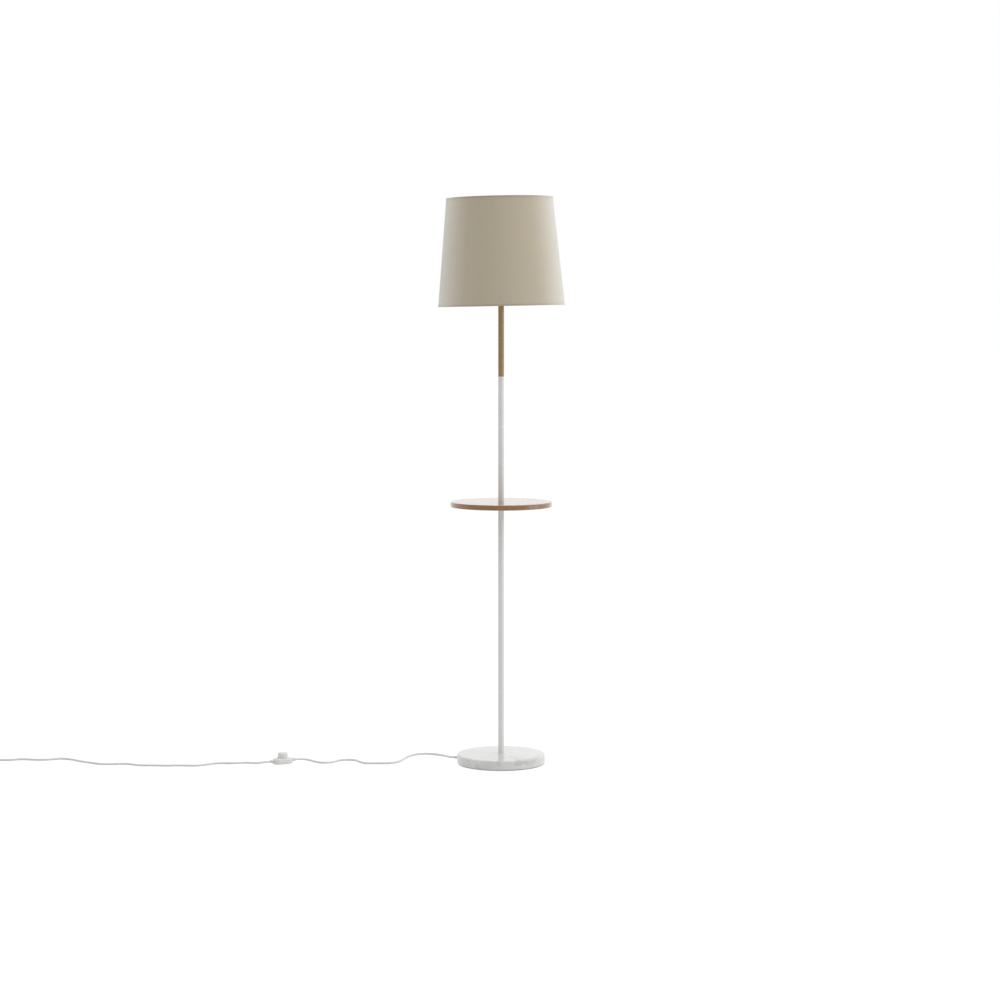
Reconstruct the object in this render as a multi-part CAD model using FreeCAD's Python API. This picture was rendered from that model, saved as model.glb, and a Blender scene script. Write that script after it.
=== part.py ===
import FreeCAD, Part
import math
import os

# Floor lamp with a small round table on its pole.
#
# A polished marble disc carries a white steel tube, a wooden table, a second tube and a turned
# wooden pole. Hollow threaded nipples join these pieces end to end, and the flex runs up through
# them all to a lampholder, which carries the bulb and a tapered linen shade. The flex leaves the
# base at its back left, crosses the floor to a foot switch, and ends in a small tied coil and a
# plug.
#
# Millimetres. The origin is on the floor under the pole, +Z is up, and the front is towards -Y.

# ---------------------------------------------------------------- driving dimensions

# Clearances
seat_gap = 0.05          # between a fixed piece and the bore or pocket that holds it
moving_gap = 0.3         # between pieces that turn or slide on each other

# Hollow threaded nipples, all alike
nipple_diameter = 10.0
nipple_bore = 8.0
nipple_grip = 16.0       # length of thread in each piece that it joins

# Base
base_diameter = 240.0
marble_thickness = 24.8
marble_edge_round = 4.0
marble_bottom_bevel = 1.5
marble_hole = 10.6
recess_diameter = 60.0
recess_depth = 15.5
pad_thickness = 2.0
pad_inset = 2.5
washer_diameter = 36.0
washer_thickness = 2.0
base_nut_flats = 15.0
base_nut_height = 4.0
channel_width = 8.4
channel_height = 7.5

# Flex
flex_diameter = 5.5
flex_bend_radius = 9.0   # where it turns up into the base's nipple
core_diameter = 2.2
exit_heading = 156.0     # degrees: the flex leaves the base at the back left
gland_grip = 12.0        # length of the gland inside the marble
gland_relief = 20.0      # length of its taper outside
gland_end_wall = 0.6
flex_start = 14.0        # how far outside the rim the loose flex begins, inside the taper

# Pole
pole_diameter = 16.0
tube_wall = 1.2
plug_length = 20.0       # threaded plugs pressed into the tubes' ends
lower_tube_length = 672.9
middle_tube_length = 331.5
ferrule_height = 6.8
ferrule_bevel = 0.5
wood_pole_length = 220.0
wood_bore = 8.6

# Table
table_diameter = 275.2
table_thickness = 14.0
table_edge_round = 2.0
table_hole = 10.6
flange_diameter = 80.0
flange_thickness = 3.0
flange_hub_height = 6.0
flange_hub_wall = 2.5
table_screw_count = 3
table_screw_circle = 58.0
table_screw_diameter = 3.5
table_screw_head = 7.0
table_screw_length = 13.0
screw_slot_width = 0.9

# Lampholder
cap_neck_diameter = 18.0
cap_neck_height = 4.0
cap_height = 30.0
cap_floor = 9.0
cap_wall = 2.4
shoulder_diameter = 46.0
shoulder_height = 3.5
sleeve_diameter = 39.0
sleeve_height = 27.5
sleeve_wall = 2.6
spigot_depth = 4.0
insert_height = 10.0
screw_shell_diameter = 27.0
screw_shell_wall = 0.6
screw_shell_height = 20.0
tongue_rise = 3.0
tongue_width = 6.0
tongue_thickness = 0.8
terminal_size = 6.0
terminal_spread = 18.0
terminal_screw_diameter = 3.0

# Ring nut that clamps the shade
ring_nut_diameter = 57.0
ring_nut_flange = 2.2
ring_nut_height = 8.8
ring_nut_skirt = 45.0
ring_nut_notches = 16
ring_nut_notch_depth = 1.0

# Bulb
bulb_diameter = 60.0
bulb_wall = 1.2
bulb_neck_curve = 40.0   # radius of the hollow curve between neck and globe
bulb_cap_diameter = 26.4
bulb_cap_height = 22.3
bulb_cap_wall = 0.5
bulb_insulator_height = 4.4
bulb_contact_diameter = 10.0
bulb_contact_height = 1.2

# Shade
shade_bottom_diameter = 342.4
shade_top_diameter = 287.1
shade_height = 290.6
shade_lean = 1.1         # degrees: the shade sits a little to the left at its top
fabric_thickness = 1.2
liner_thickness = 0.6
hem_thickness = 0.5
hem_outside = 4.5
hem_inside = 9.0
ring_wire = 3.0
fitter_bore = 40.8
fitter_diameter = 53.0
fitter_thickness = 1.6
fitter_above_rim = 65.3  # from the shade's lower rim up to the fitter ring
spoke_count = 3
spoke_wire = 3.0
spoke_flat = 10.0        # level stretch of a spoke beside the fitter

# Foot switch
switch_place = (-596.0, -4.0)
switch_heading = 28.0    # degrees, from +X
switch_length = 56.0
switch_width = 34.0
switch_base_height = 8.0
switch_height = 15.0
switch_wall = 2.0
switch_top_round = 5.0
switch_bottom_bevel = 1.2
collar_height = 2.0
pedal_diameter = 27.0
pedal_top = 30.0
pedal_travel = 3.0
pedal_wall = 2.0
pedal_round = 3.0
pedal_flange = 1.3
pedal_flange_height = 1.6
stem_diameter = 8.0
post_diameter = 4.0
spring_wire = 0.8
spring_turns = 6
switch_relief_diameter = 10.0
switch_relief_length = 20.0
switch_relief_outside = 9.0
relief_mouth_wall = 0.65
relief_socket = 4.0      # how deep the flex's end sits in a switch relief
relief_groove_count = 3
groove_width = 1.2
groove_depth = 0.5
contact_width = 5.0
contact_thickness = 0.8
contact_length = 10.0
contact_rise = 3.4
core_drop = 1.6          # how far below the reliefs' middle the cores come out
switch_screw_diameter = 3.0
switch_screw_head = 5.4
switch_screw_head_height = 1.8
switch_screw_length = 9.0
switch_boss_wall = 1.6

# Coil of spare flex, plug
coil_centre = (-1446.0, 11.5)
coil_outer_turn = 33.0   # radius of the outer turn's middle
tie_width = 9.0
tie_heading = 90.0       # where on the coil the strap sits, in degrees from +X
tie_thickness = 0.8
plug_place = (-1478.0, -64.0)
plug_heading = -90.0
plug_width = 35.3
plug_thickness = 13.7
plug_length_overall = 38.0
plug_rear_width = 15.0
plug_rear_thickness = 12.0
plug_corner = 4.0
pin_spacing = 18.6
pin_diameter = 4.0
pin_length = 19.0
pin_sleeve_length = 10.0
pin_sleeve_diameter = 3.6
pin_core_diameter = 3.0
pin_root = 12.0
boot_length = 25.0
boot_diameter = 10.0
boot_groove_count = 5

# Floor routes of the flex, chosen by eye: x, y and height of its middle
floor_height = flex_diameter / 2
route_to_base = [
    (-146, 74, 4.2), (-153, 96, floor_height), (-181, 119, floor_height),
    (-213, 133, floor_height), (-246, 111, floor_height), (-265, 59, floor_height),
    (-276, 10, floor_height), (-300, -18, floor_height), (-335, -16, floor_height),
    (-364, -19, floor_height), (-384, -5, floor_height), (-398, 34, floor_height),
    (-440, 37, floor_height), (-458, -1, floor_height), (-480, -10, floor_height),
    (-502, -3, floor_height), (-523, 20, 4.5),
]
route_to_coil = [
    (-665, -28, 4.5), (-694, -5, floor_height), (-732, -17, floor_height),
    (-776, -14, floor_height), (-801, -38, floor_height), (-832, -55, floor_height),
    (-869, -47, floor_height), (-906, -53, floor_height), (-946, -47, floor_height),
    (-984, -48, floor_height), (-1020, -22, floor_height), (-1057, -29, floor_height),
    (-1090, -30, floor_height), (-1119, -10, floor_height), (-1153, 14, floor_height),
    (-1181, 42, floor_height), (-1212, 56, floor_height), (-1245, 35, floor_height),
    (-1284, 35, floor_height), (-1316, 47, floor_height), (-1348, 31, floor_height),
    (-1375, 32, floor_height), (-1400, 41, floor_height), (-1424, 52, 3.0),
    (-1450, 55.5, 3.4), (-1474.5, 40, 3.6),
]

# ---------------------------------------------------------------- heights up the pole

base_radius = base_diameter / 2
base_top = pad_thickness + marble_thickness
recess_top = pad_thickness + recess_depth
flange_bottom = base_top + lower_tube_length
table_bottom = flange_bottom + flange_thickness
table_top_height = table_bottom + table_thickness
ferrule_bottom = table_top_height + middle_tube_length
wood_bottom = ferrule_bottom + ferrule_height
holder_bottom = wood_bottom + wood_pole_length
shoulder_bottom = holder_bottom + cap_height
shade_seat = shoulder_bottom + shoulder_height
holder_top = shade_seat + sleeve_height
insert_top = shade_seat + 0.5
insert_bottom = insert_top - insert_height
flex_level = pad_thickness + channel_height / 2
tube_bore = pole_diameter - 2 * tube_wall

# The fitter ring rocks by the shade's lean between its seat and the ring nut.
fitter_play = fitter_diameter / 2 * math.sin(math.radians(shade_lean)) + moving_gap
fitter_middle = shade_seat + fitter_play + fitter_thickness / 2
ring_nut_bottom = fitter_middle + fitter_thickness / 2 + fitter_play
shade_bottom = fitter_middle - fitter_above_rim
shade_top = shade_bottom + shade_height
bottom_wire_height = shade_bottom + hem_thickness + ring_wire / 2 + seat_gap
top_wire_height = shade_top - hem_thickness - ring_wire / 2 - seat_gap

bulb_tip = insert_top + tongue_rise + moving_gap
bulb_cap_bottom = bulb_tip + bulb_contact_height + bulb_insulator_height
bulb_neck_bottom = bulb_cap_bottom + bulb_cap_height


# ---------------------------------------------------------------- shapes

def vector(x, y, z):
    return FreeCAD.Vector(x, y, z)


UP = vector(0, 0, 1)


def rod(radius, low, high, x=0.0, y=0.0):
    """An upright cylinder between two heights."""
    return Part.makeCylinder(radius, high - low, vector(x, y, low))


def pipe(outer, inner, low, high, x=0.0, y=0.0):
    """An upright tube between two heights, given by its two radii."""
    return rod(outer, low, high, x, y).cut(rod(inner, low - 1, high + 1, x, y))


def block(length, width, low, high, x=0.0, y=0.0):
    """An upright box between two heights, centred on x and y."""
    return Part.makeBox(length, width, high - low, vector(x - length / 2, y - width / 2, low))


def outline(steps):
    """A closed face in the XZ plane. A step (x, z) is a straight edge to that point, and a step
    (x1, z1, x2, z2) is an arc through the first point to the second."""
    edges = []
    start = here = vector(steps[0][-2], 0, steps[0][-1])
    for step in list(steps[1:]) + [(start.x, start.z)]:
        there = vector(step[-2], 0, step[-1])
        if there.distanceToPoint(here) < 1e-7:
            continue
        if len(step) == 4:
            edges.append(Part.Arc(here, vector(step[0], 0, step[1]), there).toShape())
        else:
            edges.append(Part.LineSegment(here, there).toShape())
        here = there
    return Part.Face(Part.Wire(edges))


def spun(*steps):
    """The outline turned round the Z axis."""
    return outline(steps).revolve(vector(0, 0, 0), UP, 360)


def corner_arc(x, z, radius, start, end):
    """An arc step about a centre, from one angle to another in degrees, after a step to its start."""
    middle = math.radians((start + end) / 2)
    last = math.radians(end)
    return (x + radius * math.cos(middle), z + radius * math.sin(middle),
            x + radius * math.cos(last), z + radius * math.sin(last))


def oblong(straight, *steps):
    """A body with round ends: the outline turned at both ends and run straight between them."""
    half = outline(steps)
    end = half.revolve(vector(0, 0, 0), UP, 360)
    section = half.fuse(half.mirror(vector(0, 0, 0), vector(1, 0, 0))).removeSplitter()
    section.rotate(vector(0, 0, 0), UP, 90)
    section.translate(vector(-straight / 2, 0, 0))
    body = section.extrude(vector(straight, 0, 0))
    for side in (-1, 1):
        cap = end.copy()
        cap.translate(vector(side * straight / 2, 0, 0))
        body = body.fuse(cap)
    return body.removeSplitter()


def around(shape, count, first=0.0):
    """Copies of a shape spaced evenly about the Z axis, as one compound."""
    copies = []
    for number in range(count):
        one = shape.copy()
        one.rotate(vector(0, 0, 0), UP, first + number * 360.0 / count)
        copies.append(one)
    return Part.makeCompound(copies)


def placed(shape, place, heading):
    """A shape made about the origin with +X ahead, turned to a heading and moved along the floor."""
    moved = shape.copy()
    moved.rotate(vector(0, 0, 0), UP, heading)
    moved.translate(vector(place[0], place[1], 0))
    return moved


def laid_along_x(shape, height):
    """A shape made upright from z = 0, laid down along +X with its axis at a height."""
    laid = shape.copy()
    laid.rotate(vector(0, 0, 0), vector(0, 1, 0), 90)
    laid.translate(vector(0, 0, height))
    return laid


def ahead(place, heading, distance, height):
    """The point at a distance from a place along a heading."""
    angle = math.radians(heading)
    return (place[0] + distance * math.cos(angle), place[1] + distance * math.sin(angle), height)


def path_through(points):
    """Straight runs joined by tangent arcs, as large as the two runs beside each point allow.
    Returns the wire and the arcs' radii."""
    stops = [vector(*point) for point in points]
    edges = []
    radii = []
    here = stops[0]
    for before, corner, after in zip(stops, stops[1:], stops[2:]):
        back = before - corner
        on = after - corner
        half_turn = (math.pi - back.getAngle(on)) / 2
        reach = 0.45 * min(back.Length, on.Length)
        radius = reach / math.tan(half_turn)
        back.normalize()
        on.normalize()
        start = corner + back * reach
        end = corner + on * reach
        inward = back + on
        inward.normalize()
        middle = corner + inward * (radius / math.cos(half_turn) - radius)
        edges.append(Part.LineSegment(here, start).toShape())
        edges.append(Part.Arc(start, middle, end).toShape())
        radii.append(radius)
        here = end
    edges.append(Part.LineSegment(here, stops[-1]).toShape())
    return Part.Wire(edges), radii


def bent_rod(points, diameter, name=""):
    """A round rod or flex of one diameter through a list of points."""
    wire, radii = path_through(points)
    first = vector(*points[1]) - vector(*points[0])
    ring = Part.Wire(Part.Circle(vector(*points[0]), first, diameter / 2).toShape())
    solid = wire.makePipeShell([ring], True, False)
    if name:
        share = solid.Volume / (math.pi * diameter ** 2 / 4 * wire.Length)
        print(name, "length", round(wire.Length), "volume share", round(share, 4),
              "radii", [round(radius) for radius in radii])
    return solid


def tapered_relief(length, big, mouth, bore, bore_depth, grooves, plain):
    """An upright moulded strain relief, from its wide end at z = 0 to its mouth. It has grooves
    round the taper beyond its plain stretch, and a bore of some depth in its mouth."""
    body = spun((0, 0), (big, 0), (big, plain), (mouth, length), (0, length))
    pitch = (length - plain) / (grooves + 1)
    for number in range(grooves):
        middle = plain + pitch * (number + 1)
        radius = big + (mouth - big) * (middle - plain) / (length - plain)
        body = body.cut(pipe(big + 1, radius - groove_depth,
                             middle - groove_width / 2, middle + groove_width / 2))
    return body.cut(rod(bore, length - bore_depth, length + 1))


def nipple(low, high):
    return pipe(nipple_diameter / 2, nipple_bore / 2, low, high)


def threaded_plug(low, high):
    return pipe(tube_bore / 2 - seat_gap, nipple_diameter / 2 + seat_gap, low, high)


# ---------------------------------------------------------------- base

def base_marble():
    """Disc with a soft upper edge, a bored middle, and underneath a recess for the nut and a
    channel for the flex."""
    edge = marble_edge_round
    disc = spun((marble_hole / 2, pad_thickness),
                (base_radius - marble_bottom_bevel, pad_thickness),
                (base_radius, pad_thickness + marble_bottom_bevel),
                (base_radius, base_top - edge),
                corner_arc(base_radius - edge, base_top - edge, edge, 0, 90),
                (marble_hole / 2, base_top))
    recess = rod(recess_diameter / 2, pad_thickness - 1, recess_top)
    channel = block(base_radius + 10, channel_width, pad_thickness - 1,
                    pad_thickness + channel_height, (base_radius + 10) / 2)
    return disc.cut(recess).cut(placed(channel, (0, 0), exit_heading))


def base_pad():
    return rod(base_radius - pad_inset, 0, pad_thickness)


def base_washer():
    return pipe(washer_diameter / 2, nipple_diameter / 2 + seat_gap,
                recess_top - washer_thickness, recess_top)


def hexagon(flats, low, high):
    corner = flats / math.sqrt(3)
    points = [vector(corner * math.cos(math.radians(60 * step)),
                     corner * math.sin(math.radians(60 * step)), low) for step in range(7)]
    return Part.Face(Part.makePolygon(points)).extrude(vector(0, 0, high - low))


def base_nut():
    top = recess_top - washer_thickness
    nut = hexagon(base_nut_flats, top - base_nut_height, top)
    return nut.cut(rod(nipple_diameter / 2 + seat_gap, 0, base_top))


def base_nipple():
    below_nut = recess_top - washer_thickness - base_nut_height - 0.3
    return nipple(below_nut, base_top + nipple_grip)


def cord_gland():
    """Block that fills the channel's mouth, with a taper that keeps the flex from kinking."""
    inner = base_radius - gland_grip
    grip = block(gland_grip, channel_width - 2 * seat_gap, pad_thickness + seat_gap,
                 pad_thickness + channel_height - seat_gap, inner + gland_grip / 2)
    taper = tapered_relief(gland_relief + 1, channel_height / 2 - seat_gap,
                           flex_diameter / 2 + gland_end_wall, flex_diameter / 2 + seat_gap,
                           gland_relief + 1, relief_groove_count, 4)
    taper = laid_along_x(taper, flex_level)
    taper.translate(vector(base_radius - 1, 0, 0))
    bore = laid_along_x(rod(flex_diameter / 2 + seat_gap, -1, gland_grip + 2), flex_level)
    bore.translate(vector(inner, 0, 0))
    return placed(grip.fuse(taper).cut(bore).removeSplitter(), (0, 0), exit_heading)


def cord_riser():
    """The flex from the gland, along the channel, up the pole and into the lampholder's cap."""
    start = vector(base_radius + flex_start, 0, flex_level)
    turn_start = vector(flex_bend_radius, 0, flex_level)
    slant = flex_bend_radius * (1 - math.sqrt(0.5))
    turn_middle = vector(slant, 0, flex_level + slant)
    turn_end = vector(0, 0, flex_level + flex_bend_radius)
    top = vector(0, 0, holder_bottom + cap_floor + 2)
    wire = Part.Wire([Part.LineSegment(start, turn_start).toShape(),
                      Part.Arc(turn_start, turn_middle, turn_end).toShape(),
                      Part.LineSegment(turn_end, top).toShape()])
    ring = Part.Wire(Part.Circle(start, vector(-1, 0, 0), flex_diameter / 2).toShape())
    return placed(wire.makePipeShell([ring], True, False), (0, 0), exit_heading)


# ---------------------------------------------------------------- pole and table

def lower_tube_foot_plug():
    return threaded_plug(base_top, base_top + plug_length)


def lower_tube():
    return pipe(pole_diameter / 2, tube_bore / 2, base_top, flange_bottom)


def lower_tube_top_plug():
    return threaded_plug(flange_bottom - plug_length, flange_bottom)


def screw_places():
    """Where the table's screws stand round the pole."""
    radius = table_screw_circle / 2
    angles = [math.radians(90 + step * 360 / table_screw_count) for step in range(table_screw_count)]
    return [(radius * math.cos(angle), radius * math.sin(angle)) for angle in angles]


def countersunk_screw(head, shank, length, slack=0.0):
    """An upright screw, head down at z = 0, with its conical head grown by some slack."""
    head_radius = head / 2 + slack
    shank_radius = shank / 2 + slack
    depth = (head - shank) / 2
    return spun((0, 0), (head_radius, 0), (shank_radius, depth), (shank_radius, length - shank / 2),
                (0, length + slack))


def table_flange():
    """Plate screwed to the table's underside, with a hub round the lower tube's end."""
    plate = pipe(flange_diameter / 2, nipple_diameter / 2 + seat_gap, flange_bottom, table_bottom)
    tube_radius = pole_diameter / 2 + seat_gap
    hub = pipe(tube_radius + flange_hub_wall, tube_radius, flange_bottom - flange_hub_height,
               flange_bottom)
    flange = plate.fuse(hub).removeSplitter()
    for x, y in screw_places():
        hole = countersunk_screw(table_screw_head, table_screw_diameter, table_screw_length, seat_gap)
        hole.translate(vector(x, y, flange_bottom))
        flange = flange.cut(hole)
    return flange


def table_screws():
    screws = []
    for x, y in screw_places():
        screw = countersunk_screw(table_screw_head, table_screw_diameter, table_screw_length)
        for heading in (0, 90):
            slot = block(table_screw_head * 0.6, screw_slot_width, -1, screw_slot_width)
            screw = screw.cut(placed(slot, (0, 0), heading))
        screw.translate(vector(x, y, flange_bottom))
        screws.append(screw)
    return Part.makeCompound(screws)


def table_top():
    """Turned wooden disc with softened edges, a bored middle and blind holes for the screws."""
    radius = table_diameter / 2
    edge = table_edge_round
    disc = spun((table_hole / 2, table_bottom),
                (radius - edge, table_bottom),
                corner_arc(radius - edge, table_bottom + edge, edge, -90, 0),
                (radius, table_top_height - edge),
                corner_arc(radius - edge, table_top_height - edge, edge, 0, 90),
                (table_hole / 2, table_top_height))
    for x, y in screw_places():
        hole = countersunk_screw(table_screw_head, table_screw_diameter, table_screw_length, seat_gap)
        hole.translate(vector(x, y, flange_bottom))
        disc = disc.cut(hole)
    return disc


def table_nipple():
    return nipple(flange_bottom - nipple_grip, table_top_height + nipple_grip)


def middle_tube_foot_plug():
    return threaded_plug(table_top_height, table_top_height + plug_length)


def middle_tube():
    """Upper steel tube, with a small bevel where it meets the ferrule."""
    outer = pole_diameter / 2
    return spun((tube_bore / 2, table_top_height), (outer, table_top_height),
                (outer, ferrule_bottom - ferrule_bevel), (outer - ferrule_bevel, ferrule_bottom),
                (tube_bore / 2, ferrule_bottom))


def middle_tube_top_plug():
    return threaded_plug(ferrule_bottom - plug_length, ferrule_bottom)


def ferrule():
    """White ring between the steel tube and the wooden pole."""
    outer = pole_diameter / 2
    inner = nipple_diameter / 2 + seat_gap
    return spun((inner, ferrule_bottom), (outer - ferrule_bevel, ferrule_bottom),
                (outer, ferrule_bottom + ferrule_bevel), (outer, wood_bottom), (inner, wood_bottom))


def pole_nipple():
    return nipple(ferrule_bottom - nipple_grip, wood_bottom + nipple_grip)


def wood_pole():
    """Turned pole, bored through for the flex, with a threaded socket in each end."""
    pole = pipe(pole_diameter / 2, wood_bore / 2, wood_bottom, holder_bottom)
    socket = nipple_diameter / 2 + seat_gap
    depth = nipple_grip + 2
    return pole.cut(rod(socket, wood_bottom - 1, wood_bottom + depth)).cut(
        rod(socket, holder_bottom - depth, holder_bottom + 1))


# ---------------------------------------------------------------- lampholder

def holder_nipple():
    return nipple(holder_bottom - nipple_grip, holder_bottom + cap_floor)


def holder_cap():
    """Bell-shaped cap, screwed to the pole by its neck, with a hollow for the terminals."""
    neck = cap_neck_diameter / 2
    rim = shoulder_diameter / 2
    low = holder_bottom
    high = shoulder_bottom
    flare = (high - low) * 0.65
    inside = rim - cap_wall
    return spun((nipple_diameter / 2 + seat_gap, low), (neck, low), (neck, low + cap_neck_height),
                (neck + (rim - neck) * 0.62, low + cap_neck_height + (flare - cap_neck_height) * 0.42,
                 rim, low + flare),
                (rim, high), (inside, high), (inside, low + flare + 1),
                (neck + 1, low + cap_floor), (nipple_diameter / 2 + seat_gap, low + cap_floor))


def holder_body():
    """Sleeve that the shade's ring nut screws on, over a shoulder that the shade rests on. A
    spigot below goes into the cap."""
    sleeve = sleeve_diameter / 2
    bore = sleeve - sleeve_wall
    shoulder = shoulder_diameter / 2
    spigot = shoulder - cap_wall - seat_gap
    return spun((bore, shoulder_bottom - spigot_depth), (spigot, shoulder_bottom - spigot_depth),
                (spigot, shoulder_bottom), (shoulder, shoulder_bottom), (shoulder, shade_seat),
                (sleeve, shade_seat), (sleeve, holder_top - 1), (sleeve - 1, holder_top),
                (bore, holder_top))


def holder_insert():
    """Ceramic block inside the sleeve, with two holes for the terminals' screws."""
    body = rod(sleeve_diameter / 2 - sleeve_wall - seat_gap, insert_bottom, insert_top)
    for side in (-1, 1):
        body = body.cut(rod(terminal_screw_diameter / 2 + seat_gap, insert_bottom - 1,
                            insert_bottom + insert_height / 2, side * terminal_spread / 2))
    return body


def holder_screw_shell():
    outer = screw_shell_diameter / 2 + screw_shell_wall
    return pipe(outer, screw_shell_diameter / 2, insert_top, insert_top + screw_shell_height)


def holder_tongue():
    """Springy centre contact: a strip bent up from the ceramic to meet the bulb's tip."""
    reach = tongue_width
    thick = tongue_thickness
    low = insert_top
    high = insert_top + tongue_rise
    strip = outline([(-reach, low), (-reach / 3, low), (reach / 2, high - thick), (reach, high - thick),
                     (reach, high), (reach / 2 - thick / 2, high), (-reach / 3 - thick / 2, low + thick),
                     (-reach, low + thick)])
    solid = strip.extrude(vector(0, tongue_width, 0))
    solid.translate(vector(0, -tongue_width / 2, 0))
    return solid


def holder_terminals():
    """Two brass blocks under the ceramic, each cross-bored for a core."""
    size = terminal_size
    blocks = []
    for side in (-1, 1):
        x = side * terminal_spread / 2
        body = block(size, size, insert_bottom - size, insert_bottom, x)
        body = body.cut(rod(terminal_screw_diameter / 2 + seat_gap, insert_bottom - size / 2,
                            insert_bottom + 1, x))
        body = body.cut(rod(core_diameter / 2 + seat_gap, insert_bottom - size - 1,
                            insert_bottom - size / 2, x))
        blocks.append(body)
    return Part.makeCompound(blocks)


def terminal_screws():
    screws = [rod(terminal_screw_diameter / 2, insert_bottom - terminal_size / 2,
                  insert_bottom + insert_height / 2 - 1, side * terminal_spread / 2)
              for side in (-1, 1)]
    return Part.makeCompound(screws)


def holder_cores():
    """The flex's two cores, from the end of its sheath to the terminals."""
    low = holder_bottom + cap_floor + 2
    high = insert_bottom - terminal_size / 2
    cores = []
    for side in (-1, 1):
        near = side * (core_diameter / 2 + seat_gap)
        far = side * terminal_spread / 2
        middle = (low + insert_bottom - terminal_size) / 2
        cores.append(bent_rod([(near, 0, low), (near, 0, middle - 1.5), (far, 0, middle + 1.5),
                               (far, 0, high)], core_diameter))
    return Part.makeCompound(cores)


def shade_ring_nut():
    """Flanged ring that screws down the sleeve onto the fitter, with finger notches in its skirt."""
    bore = sleeve_diameter / 2 + moving_gap
    flange = ring_nut_diameter / 2
    skirt = ring_nut_skirt / 2
    low = ring_nut_bottom
    body = spun((bore, low), (flange, low), (flange, low + ring_nut_flange),
                (skirt, low + ring_nut_flange), (skirt, low + ring_nut_height - 0.6),
                (skirt - 0.6, low + ring_nut_height), (bore, low + ring_nut_height))
    notch = rod(ring_nut_notch_depth * 1.4, low + ring_nut_flange, low + ring_nut_height + 1,
                skirt + ring_nut_notch_depth * 0.4)
    return body.cut(around(notch, ring_nut_notches))


# ---------------------------------------------------------------- bulb

def bulb_profile(offset):
    """Steps of the bulb's glass from neck to crown, moved inwards by an offset."""
    radius = bulb_diameter / 2 - offset
    neck = bulb_cap_diameter / 2 - offset
    curve = bulb_neck_curve + offset
    bend_height = bulb_neck_bottom + 2
    rise = math.sqrt((radius + curve) ** 2 - (neck + curve) ** 2)
    centre = bend_height + rise
    share = radius / (radius + curve)
    join = ((neck + curve) * share, centre - rise * share)
    half = math.atan2(rise, neck + curve) / 2
    through = (neck + curve - curve * math.cos(half), bend_height + curve * math.sin(half))
    start = math.atan2(join[1] - centre, join[0])
    middle = (start + math.pi / 2) / 2
    top = (radius * math.cos(middle), centre + radius * math.sin(middle), 0, centre + radius)
    return [(neck, bulb_neck_bottom), (neck, bend_height), (*through, *join), top]


def bulb_glass():
    outer = spun((0, bulb_neck_bottom), *bulb_profile(0))
    inner = spun((0, bulb_neck_bottom), *bulb_profile(bulb_wall))
    return outer.cut(inner)


def bulb_cap():
    """Screw cap: a thin shell, drawn in to its insulator at the bottom."""
    outer = bulb_cap_diameter / 2
    inner = outer - bulb_cap_wall
    low = bulb_cap_bottom
    lip = bulb_contact_diameter / 2 + 3
    return spun((lip, low), (outer - 2, low), (outer, low + 2), (outer, bulb_neck_bottom),
                (inner, bulb_neck_bottom), (inner, low + 2.5), (lip, low + 1))


def bulb_insulator():
    """Dark glass cone between the cap and the tip."""
    contact = bulb_contact_diameter / 2
    low = bulb_tip + bulb_contact_height
    return spun((0, low), (contact, low), (contact + 3 - seat_gap, bulb_cap_bottom),
                (contact + 3 - seat_gap, bulb_cap_bottom + 1), (0, bulb_cap_bottom + 1))


def bulb_contact():
    radius = bulb_contact_diameter / 2
    top = bulb_tip + bulb_contact_height
    return spun((0, bulb_tip), (radius * 0.5, bulb_tip), (radius, top), (0, top))


# ---------------------------------------------------------------- shade

def leaned(shape):
    """A shade piece made upright, set to the lean that it has on the fitter."""
    tilted = shape.copy()
    tilted.rotate(vector(0, 0, fitter_middle), vector(0, 1, 0), -shade_lean)
    return tilted


def shade_radius(height):
    """Outer radius of the hem's line at a height, before the lean."""
    share = (height - shade_bottom) / shade_height
    return (shade_bottom_diameter + (shade_top_diameter - shade_bottom_diameter) * share) / 2


def cone_shell(low, high, outside, inside):
    """A tapered wall between two heights, set in from the shade's outer line by two depths."""
    return spun((shade_radius(low) - inside, low), (shade_radius(low) - outside, low),
                (shade_radius(high) - outside, high), (shade_radius(high) - inside, high))


fabric_outside = hem_thickness + seat_gap
fabric_inside = fabric_outside + fabric_thickness
liner_outside = fabric_inside + seat_gap
liner_inside = liner_outside + liner_thickness
wire_middle = liner_inside + seat_gap + ring_wire / 2
hem_depth = wire_middle + ring_wire / 2 + seat_gap + hem_thickness
cloth_low = shade_bottom + hem_thickness + seat_gap
cloth_high = shade_top - hem_thickness - seat_gap


def shade_fabric():
    return leaned(cone_shell(cloth_low, cloth_high, fabric_outside, fabric_inside))


def shade_liner():
    return leaned(cone_shell(cloth_low, cloth_high, liner_outside, liner_inside))


def rolled_hem(rim, inward):
    """A strip folded over the rim: a short leg outside, a longer one inside, and the ring's wire
    between them. inward is +1 at the lower rim and -1 at the upper one."""
    outer_end = rim + inward * hem_outside
    inner_end = rim + inward * hem_inside
    fold = rim + inward * hem_thickness

    def at(height, depth):
        return (shade_radius(height) - depth, height)

    return spun(at(rim, 0), at(outer_end, 0), at(outer_end, hem_thickness), at(fold, hem_thickness),
                at(fold, hem_depth - hem_thickness), at(inner_end, hem_depth - hem_thickness),
                at(inner_end, hem_depth), at(rim, hem_depth))


def wire_ring(height):
    radius = shade_radius(height) - wire_middle
    return Part.makeTorus(radius, ring_wire / 2, vector(0, 0, height))


def spokes(diameter):
    """Each spoke runs level under the fitter and then slopes down to the lower ring's middle."""
    start = fitter_diameter / 2 - 2
    level = fitter_middle - fitter_thickness / 2 - spoke_wire / 2
    end = shade_radius(bottom_wire_height) - wire_middle
    points = [(start, 0, level), (start + spoke_flat, 0, level), (end, 0, bottom_wire_height)]
    return around(bent_rod(points, diameter), spoke_count, 90)


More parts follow.
